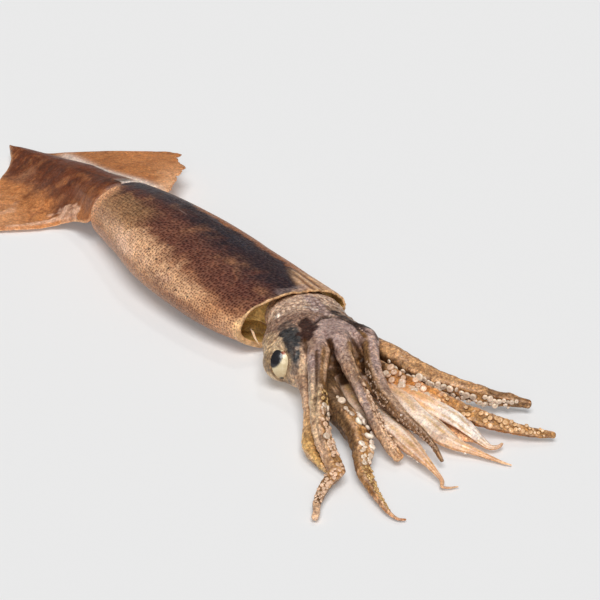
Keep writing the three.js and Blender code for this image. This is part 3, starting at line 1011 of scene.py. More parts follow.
def build_fins():
    rows, columns = 230, 241
    u = np.linspace(0, 1, rows)[:, None]
    v = np.linspace(-1, 1, columns)
    outwards = np.abs(v)
    on_left = (v > 0)[:, None]
    rear, front = (
        np.where(on_left, *(along_path(edge[side], outwards) for side in ("left", "right")))
        for edge in (FIN_REAR, FIN_FRONT)
    )
    grid = rear[None] + (front - rear)[None] * u[..., None]

    torn_edge = np.array(FIN_TORN)
    for axis in (0, 1):
        wanted = np.interp(u[:, 0], torn_edge[:, 0], torn_edge[:, axis + 1])
        grid[..., axis] += (wanted - grid[:, -1, axis])[:, None] * step(v, 0.84, 1.0)
    ripples = clouds(grid, 3.0, 61)
    torn = clouds(grid, 1.7, 63) * step(v, 0.95, 1.0)
    grid[..., :2] += torn[..., None] * np.array([0.9, 1.1])
    grid[..., 0] += 0.7 * ripples * step(u, 0.95, 1.0) * band(v, -1.1, -0.5, 0.1)
    grid[..., 0] += 0.25 * ripples * fade(u, 0.0, 0.03)

    thickness = millimetres("fin_root") + (millimetres("fin_edge") - millimetres("fin_root")) * outwards[None]
    border = np.clip(np.minimum(np.minimum(u, 1 - u) / 0.012, (1 - outwards)[None] / 0.015), 0, 1)
    thickness = thickness * (0.25 + 0.75 * np.sqrt(border * (2 - border)))
    x, y, skin = np.moveaxis(grid, -1, 0)
    flat = (1, 1, 0)
    folds = 0.16 * clouds(grid * flat, 6.0, 67)
    skin = skin + 0.35 * clouds(grid * flat, 16.0, 65) * step(outwards, 0.2, 0.6)
    slope = 1.15 + 1.9 * step(u, 0.62, 0.95)
    top = smooth_max(skin + thickness / 2, tail_height(x, y, slope), 1.3) + folds

    right, left = (v < 0)[None], (v >= 0)[None]
    place = spots(x, y, top)

    def seen_from_above(path):
        return from_path(place * flat, np.array(path) * flat)

    crease = np.min([seen_from_above(path) for path in FIN_CREASES], axis=0)
    bare = seen_from_above(FIN_BARE) + 1.2 * clouds(place, 3.0, 69)
    low_strip = seen_from_above(FIN_LOW) + 1.0 * clouds(place, 3.0, 70)
    top = top + 0.35 * fade(bare, 0.9, 2.4) * right + 0.25 * fade(low_strip, 1, 3) * right
    top = top - 0.35 * fade(crease, 0.25, 1.3) * right - 0.2 * step(u, 0.97, 1.0)
    bottom = np.minimum(smooth_floor(skin - thickness / 2, 0.05, 0.25), top - 0.25)

    upper, lower = spots(x, y, top), spots(x, y, bottom)
    paint = Paint(upper, "copper")
    wash = paint.wash
    shares = np.clip((x - TAIL_X) / MANTLE_LENGTH, 0, 1)
    off_ridge = y - mantle_section(shares)[0]
    lumps = clouds(upper, 9.0, 71)
    small = clouds(upper, 3.5, 73)
    down = -off_ridge + 5 * lumps
    wash("apricot", right * step(down, 22, 40) * 0.35)
    wash("umber", right * fade(down, 13, 23) * 0.9)
    wash("rust", right * fade(down, 9, 18) * 0.9)
    wash("umber", step(small, 0.1, 0.8) * right * fade(down, 14, 22) * 0.6)
    wash("umber", right * step(-x + 6 * lumps, 148, 156) * 0.3)
    wash("apricot", right * hump(x, -123, 5) * hump(down, 12, 4) * 0.2)
    wash("copper", step(-small, 0.25, 0.8) * right * 0.45)
    wash("blush", right * step(clouds(upper, 6.0, 81), 0.2, 0.7) * step(down, 18, 32) * 0.3)
    wash("rust", step(clouds(upper, 5.0, 79), 0.15, 0.7) * right * fade(down, 18, 30) * 0.5)
    mottle = clouds(upper, 4.2, 83)
    wash("ridge", step(mottle, 0.05, 0.55) * right * fade(down, 10, 22) * 0.4)
    wash("copper", step(-mottle, 0.1, 0.55) * right * fade(down, 14, 28) * 0.28)
    wash("rust", step(clouds(upper, 2.6, 85), 0.1, 0.6) * band(down, 12, 34, 6) * right * 0.35)
    wash("amber", left * step(mottle, 0.05, 0.6) * 0.35)
    wash("amber", right * hump(x, -58, 8) * band(down, 8, 20, 4) * 0.6)
    wash("ridge", hump(off_ridge, 4.5, 3.2) * band(x, -136, -50, 10) * 0.9)
    wash("ridge", hump(off_ridge, 1.0, 5.0) * band(x, -128, -50, 10) * 0.35)
    wash("ridge", hump(off_ridge + 2 * small, 1.5, 4.0) * band(x, -98, -48, 8) * 0.6)
    wash("amber", left * fade(off_ridge + 5 * lumps, 15, 26) * 0.4)
    dome = fade(off_ridge + small, 3.6, 4.6)
    wash("rust", left * dome * 0.95)
    wash("ridge", left * dome * step(off_ridge, 1, 5) * 0.5)
    fibres = clouds(spots(u * 70, v * 3, 0), 2.0, 75)
    paint.shade(1 + 0.035 * fibres + 0.12 * lumps)
    wash("apricot", left * step(u + 0.1 * lumps, 0.72, 0.95) * step(outwards, 0.3, 0.5) * 0.85)
    wash("apricot", left * step(outwards + 0.1 * lumps, 0.72, 0.95) * step(u, 0.2, 0.8) * 0.6)
    white_strip = band(off_ridge + 0.6 * small, 4.2, 7.5, 0.8) * band(x, -124, -66, 8)
    wash("blank", left * white_strip * 0.8)
    far_strip = hump(off_ridge - step(x, -105, -60) * 11, 10, 3) * band(x, -130, -58, 6)
    wash("blank", left * far_strip * 0.7)
    wash("blank", left * hump(u, 1.0, 0.05) * fade(outwards, 0.7, 0.9) * 0.7)
    broken = 0.45 + 0.55 * step(clouds(place, 2.2, 77), -0.3, 0.4)
    wash("blush", fade(bare, 0.5, 1.7) * right * broken * 0.75)
    wash("blush", fade(low_strip, 1.0, 2.6) * right * broken * 0.7)
    wash("copper", right * step(u, 0.978, 0.99) * step(outwards, 0.45, 0.6) * 0.8)
    # Painted shade in the creases of the torn front border.
    wash("umber", fade(crease, 0.2, 0.8) * right * 0.4)
    wash("brown", left * hump(u, 0, 0.015) * band(v, 0.3, 0.75, 0.1) * 0.7)
    wash("apricot", hump(u, 0, 0.02) * right * 0.4)
    # Painted shade: a dark line in the crease where the fin skin meets the mantle's shoulder.
    wash("ridge", hump(x, -50.5, 2.2) * hump(off_ridge, 2, 3.5) * 0.8)
    paint.speckle = 0.45 + 0.2 * fade(down, 10, 20) * right
    under = np.broadcast_to(colour("apricot"), paint.tint.shape)
    mesh = new_mesh("fins", *slab(upper, lower))
    tint = np.concatenate([paint.tint.reshape(-1, 3), under.reshape(-1, 3)])
    set_layers(mesh, tint=tint, speckle=np.concatenate([paint.speckle.ravel(), np.full(rows * columns, 0.2)]))
    return new_piece("fins", mesh, skin_material("Fin skin"), "fin_skin", "squid")


# ---- Arms ----

ROUTE_POINTS = 900
LIMB_SIDES = 44
PALE_LIMBS = ("right_lower_arm", "left_lower_arm", "left_fourth_arm")


class Limb:
    """An arm or tentacle: a tapering body along a smooth route."""

    def __init__(self, name):
        self.facts = LIMBS[name]
        route = np.array(self.facts.route, float)
        chords = np.sqrt(np.linalg.norm(np.diff(route, axis=0), axis=1))
        knots = np.concatenate([[0], np.cumsum(chords)])
        self.dense = through(np.column_stack([knots, route]), np.linspace(0, knots[-1], ROUTE_POINTS))
        lengths = lengths_along(self.dense)
        self.length = lengths[-1]
        self.shares = lengths / self.length

    def centre(self, shares):
        return each_column(shares, self.shares, self.dense)

    def frame(self, shares):
        """The middle, and the directions sideways, upwards and along."""
        reach = 0.012
        along = unit(self.centre(np.clip(shares + reach, 0, 1)) - self.centre(np.clip(shares - reach, 0, 1)))
        side = unit(np.cross((0, 0, 1), along))
        return self.centre(shares), side, np.cross(along, side), along

    def girth(self, shares):
        values = self.facts.half_widths
        return through([(i / (len(values) - 1), w) for i, w in enumerate(values)], shares)[..., 0]

    def mouth(self, shares):
        """Angle that the suckered side faces, in radians."""
        return np.radians(np.interp(shares, *zip(*self.facts.mouth)))

    def section(self, shares, angles):
        """The outline's radius against a plain oval: a flat suckered side between two ridges, and a keel."""
        turn = (angles - self.mouth(shares) + np.pi) % (2 * np.pi) - np.pi
        ridged = step(shares, 0.25, 0.4)
        flat = -0.22 * hump(turn, 0, 0.7) + 0.16 * hump(np.abs(turn), 0.95, 0.24)
        keel = 0.1 * hump(np.abs(turn), np.pi, 0.4)
        return 1 + ridged * flat + keel, turn

    def surface(self, shares, angles, grow=1.0):
        """Points for shares along and angles round, which broadcast."""
        shares, angles = np.broadcast_arrays(shares, angles)
        middle, side, up, _ = self.frame(shares)
        radius, _ = self.section(shares, angles)
        wide = (self.girth(shares) * radius * grow)[..., None]
        tall = wide * self.facts.flatness
        return middle + side * wide * np.sin(angles)[..., None] + up * tall * np.cos(angles)[..., None]


def limb_rings(limb, angles):
    """A limb's rings of points down to a rounded tip, their shares of its length and the ways outwards."""
    spacing, tip_rings = 0.45, 6
    body = np.linspace(0.02, 1, max(40, round(limb.length / spacing)))
    tip = np.sin(np.linspace(0, np.pi / 2, tip_rings))[1:]
    shares = np.concatenate([body, np.ones(len(tip))])[:, None]
    closing = np.concatenate([np.ones(len(body)), np.sqrt(1 - tip**2) * 0.98 + 0.02])[:, None]
    reach = np.concatenate([np.zeros(len(body)), tip * limb.girth(np.ones(1)) * 0.8])
    past_end = (limb.frame(shares[:, 0])[-1] * reach[:, None])[:, None]
    grid = limb.surface(shares, angles, closing) + past_end
    return grid, shares, unit(grid - limb.centre(shares[:, 0])[:, None] - past_end)


def build_arms():
    """Every limb as its own piece."""
    skin = skin_material("Arm skin")
    pale_skin = skin_material("Pale arm skin")
    angles = all_round(LIMB_SIDES)
    for order, name in enumerate(LIMBS):
        limb, pale, seed = Limb(name), name in PALE_LIMBS, 100 + 10 * order
        grid, shares, outwards = limb_rings(limb, angles)
        turn = limb.section(shares, angles)[1]
        girth = limb.girth(shares)
        lengthwise = spots(shares * limb.length * 0.14, girth * np.sin(angles), girth * np.cos(angles))
        strips = clouds(lengthwise, 1.5, seed)
        lumps, grain = clouds(grid, 2.4, seed + 1), clouds(grid, 1.2, seed + 2)
        stout = np.minimum(girth, 3.0) / 3.0
        inner = fade(np.abs(turn) + 0.2 * lumps, 0.95, 1.35)
        bumpy = step(shares, 0.3, 0.5)
        relief = 0.42 * strips + (0.3 + 0.3 * inner) * lumps * bumpy + 0.14 * grain
        relief = relief - 0.7 * fade(from_path(grid, LONG_SLOT), 0.3, 1.3)
        ribs = np.cos(7 * turn + 1.5 * strips)
        if pale:
            relief = 0.12 * strips + 0.1 * grain + 0.16 * ribs
        if name == "left_third_arm":
            notch = hump(shares, 0.86, 0.035) * hump(angles, -0.2, 0.9)
            relief = relief - 2.2 * notch + 0.5 * hump(shares, 0.92, 0.02) * hump(angles, -0.1, 0.8)
        grid += outwards * (stout * relief)[..., None]
        grid[..., 2] = smooth_floor(grid[..., 2], 0.1, 0.3)

        paint = Paint(grid, "taupe")
        flat_shares = np.broadcast_to(np.clip(shares + 0.03 * lumps, 0, 1), grid.shape[:2])
        facts = limb.facts
        back, mouth_side = (colours_along(stops, flat_shares) for stops in (facts.back, facts.inner))
        paint.tint = back + (mouth_side - back) * inner[..., None]
        # Painted highlight: the raised ridges beside the suckered side are lightened with flesh.
        ridge = hump(np.abs(turn), 1.02, 0.16) * step(shares, 0.35, 0.55)
        washes = [("flesh", ridge * 0.4)]
        if pale:
            low = step(np.abs(np.degrees(turn)) + 14 * strips, 118, 88) * step(shares, 0.4, 0.6)
            washes += [
                ("peach", low * 0.9),
                ("orange", low * step(lumps, 0.2, 0.7) * 0.5),
                ("tip", step(grain, 0.25, 0.7) * (1 - low) * 0.35),
                # Painted shade: straw in the grooves between the ribs.
                ("straw", step(-ribs, 0.3, 0.9) * step(lumps, -0.6, 0.2) * 0.75),
                # Painted highlight: near-white on the raised ribs.
                ("blank", step(ribs, 0.5, 1) * (1 - low) * 0.5),
            ]
            # Painted light and shade: the raised strips are lightened and the low ones darkened.
            shade, paint.speckle = 1 + 0.1 * strips, 0.3 + 0 * turn
        else:
            # Painted shade: a speckled dark strip along each side, just outside the ridges.
            speckled_side_shade = hump(np.abs(turn), 1.45, 0.16) * step(grain, -0.3, 0.4)
            washes += [
                # Painted shade in the low strips and painted highlight on the raised ones.
                ("brown", step(-strips, 0.15, 0.6) * 0.6 * stout),
                ("flesh", step(strips, 0.2, 0.7) * 0.5),
                ("pearl", inner * bumpy * step(grain, 0.3, 0.7) * 0.4),
                # Painted shade: the slot colour in the hollows between the lumps on the suckered side.
                ("slot", inner * bumpy * step(-lumps, 0.25, 0.7) * 0.45),
                ("blotch", speckled_side_shade * step(shares, 0.3, 0.45) * 0.55),
            ]
            # Painted light and shade: raised lumps are lightened and low ones darkened.
            shade, paint.speckle = 1 + 0.22 * lumps, np.clip(0.9 - 0.4 * inner + 0 * shares, 0.1, 1)
        own_washes = {
            "left_third_arm": [
                # Painted shade in the notch.
                ("slot", hump(shares, 0.86, 0.03) * hump(angles, -0.2, 0.8) * 0.9),
                ("brown", hump(angles, 0.6, 0.2) * 0.6),
                ("copper", step(lumps, 0.1, 0.7) * (1 - inner) * 0.2),
            ],
            "left_dorsal_arm": [("brown", step(-angles, 0.15, 0.7) * step(shares, 0.1, 0.3) * 0.85)],
            "right_dorsal_arm": [
                ("slot", hump(angles, 0.1, 0.22) * band(shares, 0.45, 0.95, 0.06) * 0.5),
                ("flesh", hump(angles, 0.45, 0.2) * band(shares, 0.35, 0.95, 0.08) * 0.5),
            ],
        }
        paint.washes(washes)
        paint.shade(shade)
        paint.washes(own_washes.get(name, []))
        paint_slot_shade_and_highlight(paint)
        mesh = new_mesh(name, *closed_tube(grid))
        set_layers(mesh, tint=with_poles(paint.tint), speckle=with_poles(paint.speckle))
        new_piece(name, mesh, pale_skin if pale else skin, "head_skin", "squid")


# ---- Head ----


def eye_centre(sign):
    middle, half_width = through(HEAD_STATIONS, np.array(EYE_X))[:2]
    return np.array([EYE_X, middle + sign * (half_width + EYE_PROUD - EYE_RADIUS), EYE_HEIGHT])


def eye_way(way, sign):
    """A direction given for the right eye, turned to the eye on this side: -1 right, 1 left."""
    return unit(np.array([way[0], -sign * way[1], way[2]]))


def eye_axes(way):
    """The level and the steep direction across a way."""
    level = unit(np.cross((0, 0, 1), way))
    return level, np.cross(way, level)


def ball(centre, radius, rings=24, sides=32):
    polar, around = np.linspace(0, np.pi, rings + 1)[1:-1, None], all_round(sides)
    shape = spots(np.sin(polar) * np.cos(around), np.sin(polar) * np.sin(around), np.cos(polar))
    return closed_tube(centre + radius * shape)


def head_loft():
    rings, sides = 60, 72
    x = np.linspace(HEAD_STATIONS[0][0], HEAD_STATIONS[-1][0], rings)
    middle, half_width, half_height, belly, bulge = (row[:, None] for row in through(HEAD_STATIONS, x).T)
    angles = all_round(sides)
    sideways = np.sin(angles)
    y = middle + sideways * (half_width + bulge * step(sideways, -0.2, 1))
    z = belly + half_height + np.cos(angles) * half_height
    return closed_tube(spots(x[:, None], y, z))


def limb_root(limb, reach=46.0):
    """The first stretch of a limb, a little wider than it at first and thinner at the end."""
    last = min(0.9, reach / limb.length)
    rings, sides = 50, 24
    shares = np.linspace(0.0, last, rings)[:, None]
    grow = 1.12 - 0.36 * step(shares, last * 0.2, last)
    return closed_tube(limb.surface(shares, all_round(sides), grow))


def web(first, second, reach_first, reach_second, cut, thickness):
    """A sheet of skin between two limbs, whose free edge is cut in."""
    rows, columns, sag = 40, 16, 2.0
    along = np.linspace(0.05, 1, rows)[:, None]
    across = np.linspace(0, 1, columns)[None, :]
    held = along * (1 - cut * 4 * across * (1 - across))
    a = first.centre(held * reach_first)
    b = second.centre(held * reach_second)
    middle = a + (b - a) * across[..., None]
    middle[..., 2] -= sag * np.sin(np.pi * across)
    return sheet(middle, thickness)


def fused(name, parts, voxel, rounds):
    """The closed parts as one even mesh, lightly smoothed."""
    lump = new_object(name, raw_mesh(name, *together(parts)))
    remesh = lump.modifiers.new("Fuse", "REMESH")
    remesh.mode = "VOXEL"
    remesh.voxel_size = voxel * MM
    smooth = lump.modifiers.new("Smooth", "SMOOTH")
    smooth.factor = 0.5
    smooth.iterations = rounds
    return baked(lump)


def outward(parts):
    """Turns each closed part so that its faces look outwards."""
    turned = []
    for points, faces in parts:
        mesh = bpy.data.meshes.new("part")
        mesh.from_pydata(points.tolist(), [], faces)
        flip = inside_out(mesh, points - points.mean(0))
        turned.append((points, [face[::-1] for face in faces] if flip else faces))
        bpy.data.meshes.remove(mesh)
    return turned


# The crack round the back and the left side of the crown.
CRACK = [(110.5, -3.4, 22.4), (107.3, 0.6, 21.3), (105.8, 4.5, 20.7), (105.7, 6.2, 20.7), (109.2, 8, 20.7),
         (112.4, 10.1, 20.8), (117.1, 10.1, 21.4), (121.5, 9.3, 21.4), (125.8, 9, 21.2)]
# The groove along the right third arm.
LONG_SLOT = [(128.3, -12.7, 20.4), (132.2, -15.2, 19.5), (138.7, -19.6, 17.5), (146.8, -24.6, 15.3),
             (153.4, -29.8, 13), (159.4, -33.4, 10.9), (164.9, -35.7, 9.8), (171.3, -37.3, 8.6)]
# Painted shade in the dark slots between the arms: path, radius, strength.
SLOTS = [
    ([(123.9, 4.2, 18.9), (126.7, 4.3, 17.2), (129.6, 4.6, 15.2), (134.5, 2.8, 10.3)], 1.5, 0.9),
    ([(123.5, -4.4, 19.6), (126.7, -5.2, 18), (129.8, -5.9, 16.3), (130, -4.3, 12.1), (136.2, -6.2, 9.7)],
     2.4, 0.95),
    (LONG_SLOT, 1.0, 0.7),
    ([(125.2, 11.5, 18.4), (132.1, 9.5, 17.8), (137.5, 8, 16.5), (141.3, 6.2, 14.1)], 1.6, 0.9),
]
# The crease on the outer side of the right third arm's root.
ARM_CREASE = [(117, -11.5, 20.4), (124, -14, 18.4), (131, -17, 16.2), (138, -20.5, 14)]
# Strokes on the head: colour, path, radius, strength, raggedness and softness.
HEAD_STROKES = [
    ("lilac", [(88, 10, 19.7), (93, 10, 19.7), (97, 7, 20.4), (102, 8, 20.8)], 4, 0.95, 0.5, 0.35),
    # Painted highlights: the two small near-white strokes on the neck.
    ("blank", [(89, -5.5, 18.3), (91.5, -6.5, 18.3)], 1.5, 0.9),
    ("blank", [(93, 3.5, 20.8), (97, 6, 20.6)], 1.1, 0.7),
    ("crown", [(113, 3, 21), (120, 0, 21.6), (128, -2, 22)], 9, 0.95, 0.25, 0.2),
    ("crown", [(118, 8, 20), (128, 9, 20)], 5.5, 0.9, 0.25, 0.3),
    ("slate", [(102, -9.5, 20.2), (108, -11, 20.4)], 3.2, 0.6, 0.6, 0.3),
    ("slate", [(109.5, -12.3, 19.9), (114.5, -14.2, 19.3)], 4, 0.98, 0.3, 0.25),
    ("slate", [(114.5, -14.2, 19.3), (119, -17, 16.9)], 3.2, 0.98, 0.25, 0.25),
    ("slate", [(119, -17, 16.9), (122.6, -19.2, 13.2)], 2.9, 0.97, 0.2, 0.3),
    ("blotch", [(106, -4.5, 21.3), (111, -5.5, 21.5), (116.2, -9, 20.9)], 3.2, 0.97, 0.5, 0.3),
    ("blotch", [(113.4, -10.8, 20.6)], 1.5, 0.8, 0.4),
    ("taupe", [(122, -18.5, 12), (128, -20, 11)], 3, 0.4),
]
# The dark line along the crown's left border.
LEFT_RIDGE = [(99.9, 12.9, 19), (104.6, 11, 20), (109.2, 11.3, 20.5), (114.3, 11.6, 20.6), (121, 12.5, 19)]


def paint_slot_shade_and_highlight(paint):
    # Painted shade: the slots between the arms in the slot colour.
    for path, radius, strength in SLOTS:
        paint.stroke("slot", path, radius, strength, 0.3)
    # Painted highlight: a pale crest line along the right third arm, beside its slot.
    paint.stroke("flesh", [(127.7, -8.3, 19.9), (133.8, -12.5, 18.7), (141.5, -17.7, 16.3)], 1.3, 0.6)


def open_eye(points, sign, lid):
    """Sinks the skin over an eye's opening, and marks the rim round it in the lid, the mask for the shade
    painted round the opening.
    """
    centre, opening = eye_centre(sign), eye_way(EYE_OPENING_WAY, sign)
    away = points - centre
    distance = np.linalg.norm(away, axis=1)
    some = np.maximum(distance, 1e-6)
    facing, a, b = ((away @ axis) / some for axis in (opening, *eye_axes(opening)))
    a, b = a * EYE_RADIUS, b * EYE_RADIUS
    half_open = EYE_HALF_OPEN * (1 - 0.035 * (EYE_HALF_TALL - b))
    rho = np.hypot((a - 0.05 * -sign * (EYE_HALF_TALL - b)) / half_open, b / EYE_HALF_TALL)
    rho = np.where((facing > 0) & (distance < OPENING_REACH), rho, 9.0)
    rho = rho * (1 + 0.06 * cloud(points, 3.0, 207))
    sunk = (np.minimum(SUNK_RADIUS, distance) - distance) * fade(rho, 0.9, 1.02)
    target = distance + 0.35 * hump(rho, 1.12, 0.12) + sunk
    # The rim mask is stronger below the eye, where more shade is painted.
    lid = np.maximum(lid, hump(rho, 1.06, 0.1) * (0.35 + 0.65 * step(-b, -2, 4)))
    return centre + away * (target / some)[:, None], lid


def near_crack(points, skin):
    """Distance from the crack round the crown, with a ragged border."""
    return from_path(points, settled(CRACK, skin)) + 0.5 * clouds(points, 2.5, 203)


def shape_head(points, normals, skin):
    """The points moved by folds, crack and eyelids, and how much each lies on an eyelid, which marks where
    shade is painted round the eyes.
    """
    x, y, z = points.T
    rough = fade(x, 120, 128) * step(z, 6, 12)
    grooves = 1 - np.abs(clouds(points, 2.6, 204)) * 2.6
    lift = rough * (0.4 * clouds(points, 3.2, 201) + 0.18 * clouds(points, 1.3, 202))
    lift -= 0.3 * step(grooves, 0.5, 1) * band(x, 88, 114, 4) * step(z, 15, 18)
    lift -= millimetres("crack") * fade(near_crack(points, skin), 0.5, 1.7)
    lift -= 0.6 * fade(from_path(points, settled(ARM_CREASE, skin)), 0.4, 1.6)
    raised = step(x + 0.6 * np.abs(y - 2), 109, 113) * step(z, 15, 18)
    lift += 0.6 * raised * fade(x, 124, 132)
    points = points + normals * lift[:, None]
    lid = np.zeros(len(points))
    for sign in (-1, 1):
        points, lid = open_eye(points, sign, lid)
    points[:, 2] = smooth_floor(points[:, 2], 0.05, 0.3)
    return points, lid


def nearest_on_arms(points):
    """Colour of the arms' nearest point, and its distance, for each point."""
    arms = [bpy.data.objects[name].data for name in LIMBS]
    tints = np.concatenate([numbers(arm.attributes["tint"].data, "color", 4)[:, :3] for arm in arms])
    finder = KDTree(len(tints))
    for i, point in enumerate(np.concatenate([points_of(arm) for arm in arms])):
        finder.insert(point, i)
    finder.balance()
    index, gap = (np.array(found) for found in zip(*(finder.find(point)[1:] for point in points)))
    return tints[index], gap


def paint_head(points, skin, lid):
    arm_tint, gap = nearest_on_arms(points)
    x, y, z = points.T
    paint = Paint(points, "ring_skin")
    wash, stroke = paint.wash, paint.stroke
    paint.skin = skin
    lumps, small = clouds(points, 5.0, 211), clouds(points, 2.0, 212)
    web_near = step(x, 126, 133)
    # The pale neck is partly its own paler skin and partly a painted highlight.
    wash("neck", fade(x + 4 * lumps - 0.5 * (y + 6), 86, 97) * 0.9)
    wash("cheek", step(-y - 0.5 * (z - 12), 9, 15) * step(x, 92, 101) * 0.95)
    wash("cheek", step(-z, -9, -4) * 0.35)
    wash("taupe", step(x, 111, 119) * step(-y, 9, 15) * 0.6)
    wash("web", band(y, 8, 30, 4) * band(x, 92, 112, 4) * 0.45)
    for row in HEAD_STROKES:
        stroke(*row)
    wash("web", web_near * 0.9)
    wash("pearl", band(y, -4, 26, 3) * step(x, 150, 158) * step(-z, -9, -6))
    follow = step(x + 3 * lumps, 121, 131) * fade(gap, 1.2, 3.2)
    paint.tint += (arm_tint - paint.tint) * follow[:, None]
    stroke("crown", [(122, -1, 22), (132, -3, 20)], 5.0, 0.6)
    stroke("ridge", LEFT_RIDGE, 2.7, 0.95, 0.4, 0.4)
    # Painted shade in the crease on the right third arm's root.
    stroke("slot", ARM_CREASE, 1.5, 0.8, 0.4)
    # Painted shade: a dark line in the crack round the crown.
    wash("ridge", fade(near_crack(points, skin), 0.6, 1.6) * 0.97)
    # Painted shade round each eye's opening.
    wash("slot", lid * 0.75)
    stroke("orange", [(125.4, -7.4, 19.2), (127.5, -6.6, 18)], 1.3, 0.8, 0.3)
    paint_slot_shade_and_highlight(paint)
    wash("blotch", step(small, 0.2, 0.7) * step(x, 84, 92) * (1 - web_near) * 0.3)
    wash("neck", step(-small, 0.25, 0.8) * (1 - web_near) * 0.4)
    # Painted shade on the skin close beside each eye, on its outer side.
    for sign in (-1, 1):
        away = points - eye_centre(sign)
        close = np.linalg.norm(away, axis=1) < 9
        wash("web", step(unit(away) @ eye_way((0.2, -0.95, 0.25), sign), 0.72, 0.9) * close * 0.75)
    paint.speckle = 0.8 - 0.3 * step(z, 19, 21) * step(x, 110, 114)
    return paint


def build_head():
    limbs = {name: Limb(name) for name in LIMBS}
    parts = [head_loft()]
    parts += [limb_root(limb) for limb in limbs.values()]
    parts += [web(limbs[a], limbs[b], s, t, cut, millimetres("web")) for a, b, s, t, cut in WEBS]
    parts += [ball(eye_centre(sign), millimetres("lid")) for sign in (-1, 1)]
    mesh = fused("head", outward(parts), millimetres("voxel"), rounds=7)
    points, faces = parts_of(mesh)
    points, lid = shape_head(points, normals_of(mesh), skin_of(points, faces))
    mesh.vertices.foreach_set("co", (points * MM).astype(np.float32).ravel())
    paint = paint_head(points, skin_of(points, faces), lid)
    x, _, z = points.T
    off_crack = step(from_path(points, CRACK[2:]), 1, 3) * (x > 108)
    net = band(x, 85, 115, 3) * step(z, 12, 16) * (1 - off_crack)
    set_layers(smoothed(mesh), tint=paint.tint, speckle=paint.speckle, net=net)
    return new_piece("head", mesh, skin_material("Head skin", net=True), "head_skin", "squid")


# ---- Eyes ----


def eye_material():
    material = bpy.data.materials.new("Eye")
    tree = empty_tree(material)
    shimmer = tree.noise(0.0012, 4.0, 0.6)
    tree.surface({
        "Base Color": tree.tinted(
            tree.attribute("tint", "Color"), tree.step(shimmer, 0.35, 0.7) * 0.4, (0.72, 0.62, 0.48)
        ),
        "Roughness": 0.16 + shimmer * 0.14,
        "Metallic": tree.attribute("silver") * 0.1,
        "Coat Weight": 0.5,
        "Coat Roughness": 0.05,
        "Specular IOR Level": 0.3,
        "Normal": tree.bump(0.3, 0.0002, shimmer),
    })
    return material


def build_eyes():
    material = eye_material()
    for name, sign in (("right", -1), ("left", 1)):
        centre = eye_centre(sign)
        points, faces = ball(centre, EYE_RADIUS, rings=72, sides=96)
        away = unit(points - centre)
        pupil = eye_way(EYE_PUPIL_WAY, sign)
        a, b = (EYE_RADIUS * (away @ axis) for axis in eye_axes(pupil))
        lean = math.radians(PUPIL_LEAN * sign)
        a, b = a * math.cos(lean) - b * math.sin(lean), a * math.sin(lean) + b * math.cos(lean)
        rho = np.where(away @ pupil > 0, np.hypot(a / PUPIL_HALF_WIDE, b / PUPIL_HALF_TALL), 9)
        paint = Paint(points, "iris")
        paint.washes([
            # Painted shade: the lower part of each eyeball is washed darker ochre.
            ("ochre", 0.5 * step(-(points[:, 2] - centre[2]), -1, 4)),
            ("slate", fade(rho, 1.0, 1.15) * 0.7),
            ("pupil", fade(rho, 0.94, 1.06)),
            ("slate", step(rho, 2.9, 3.5)),
        ])
        for tone, way, radius in (("blood", (0.62, 0.34, 0.86), 1.0), ("pupil", (0.8, 0.55, -0.62), 1.1)):
            spot = centre + EYE_RADIUS * unit(np.array(way) * (1, sign, 1))
            paint.stroke(tone, [tuple(spot)], radius, 0.9, 0.2)
        bulge = 0.12 * fade(rho, 0.9, 1.1)
        mesh = new_mesh("eyeball_" + name, points + away * bulge[:, None], faces)
        set_layers(mesh, tint=paint.tint, silver=fade(-rho, -1.2, -1.0))
        new_piece("eyeball_" + name, mesh, material, "eye", "eye_" + name)


# ---- Suckers ----


def sucker_material():
    material = bpy.data.materials.new("Sucker")
    tree = empty_tree(material)
    grain = tree.noise(0.0009, 3.0, 0.6)
    tint = tree.tinted(tree.attribute("tint", "Color"), tree.step(grain, 0.45, 0.75) * 0.3, (0.75, 0.62, 0.5))
    # Painted shade in each cup's dent.
    tint = tree.tinted(tint, tree.attribute("pit") * 0.5, (0.62, 0.46, 0.36))
    # Painted shade where the sucker is closed in by other skin.
    tint = tree.tinted(tint, tree.step(tree.attribute("hollow"), 0.35, 1.0) * 0.6, (0.4, 0.28, 0.18))
    tree.surface({
        "Base Color": tint,
        "Roughness": 0.28 + grain * 0.15,
        "Subsurface Weight": 0.15,
        "Subsurface Radius": (1.0, 0.6, 0.4),
        "Subsurface Scale": 0.001,
        "Coat Weight": 0.4,
        "Coat Roughness": 0.1,
        "Normal": tree.bump(0.35, 0.0002, grain),
    })
    return material


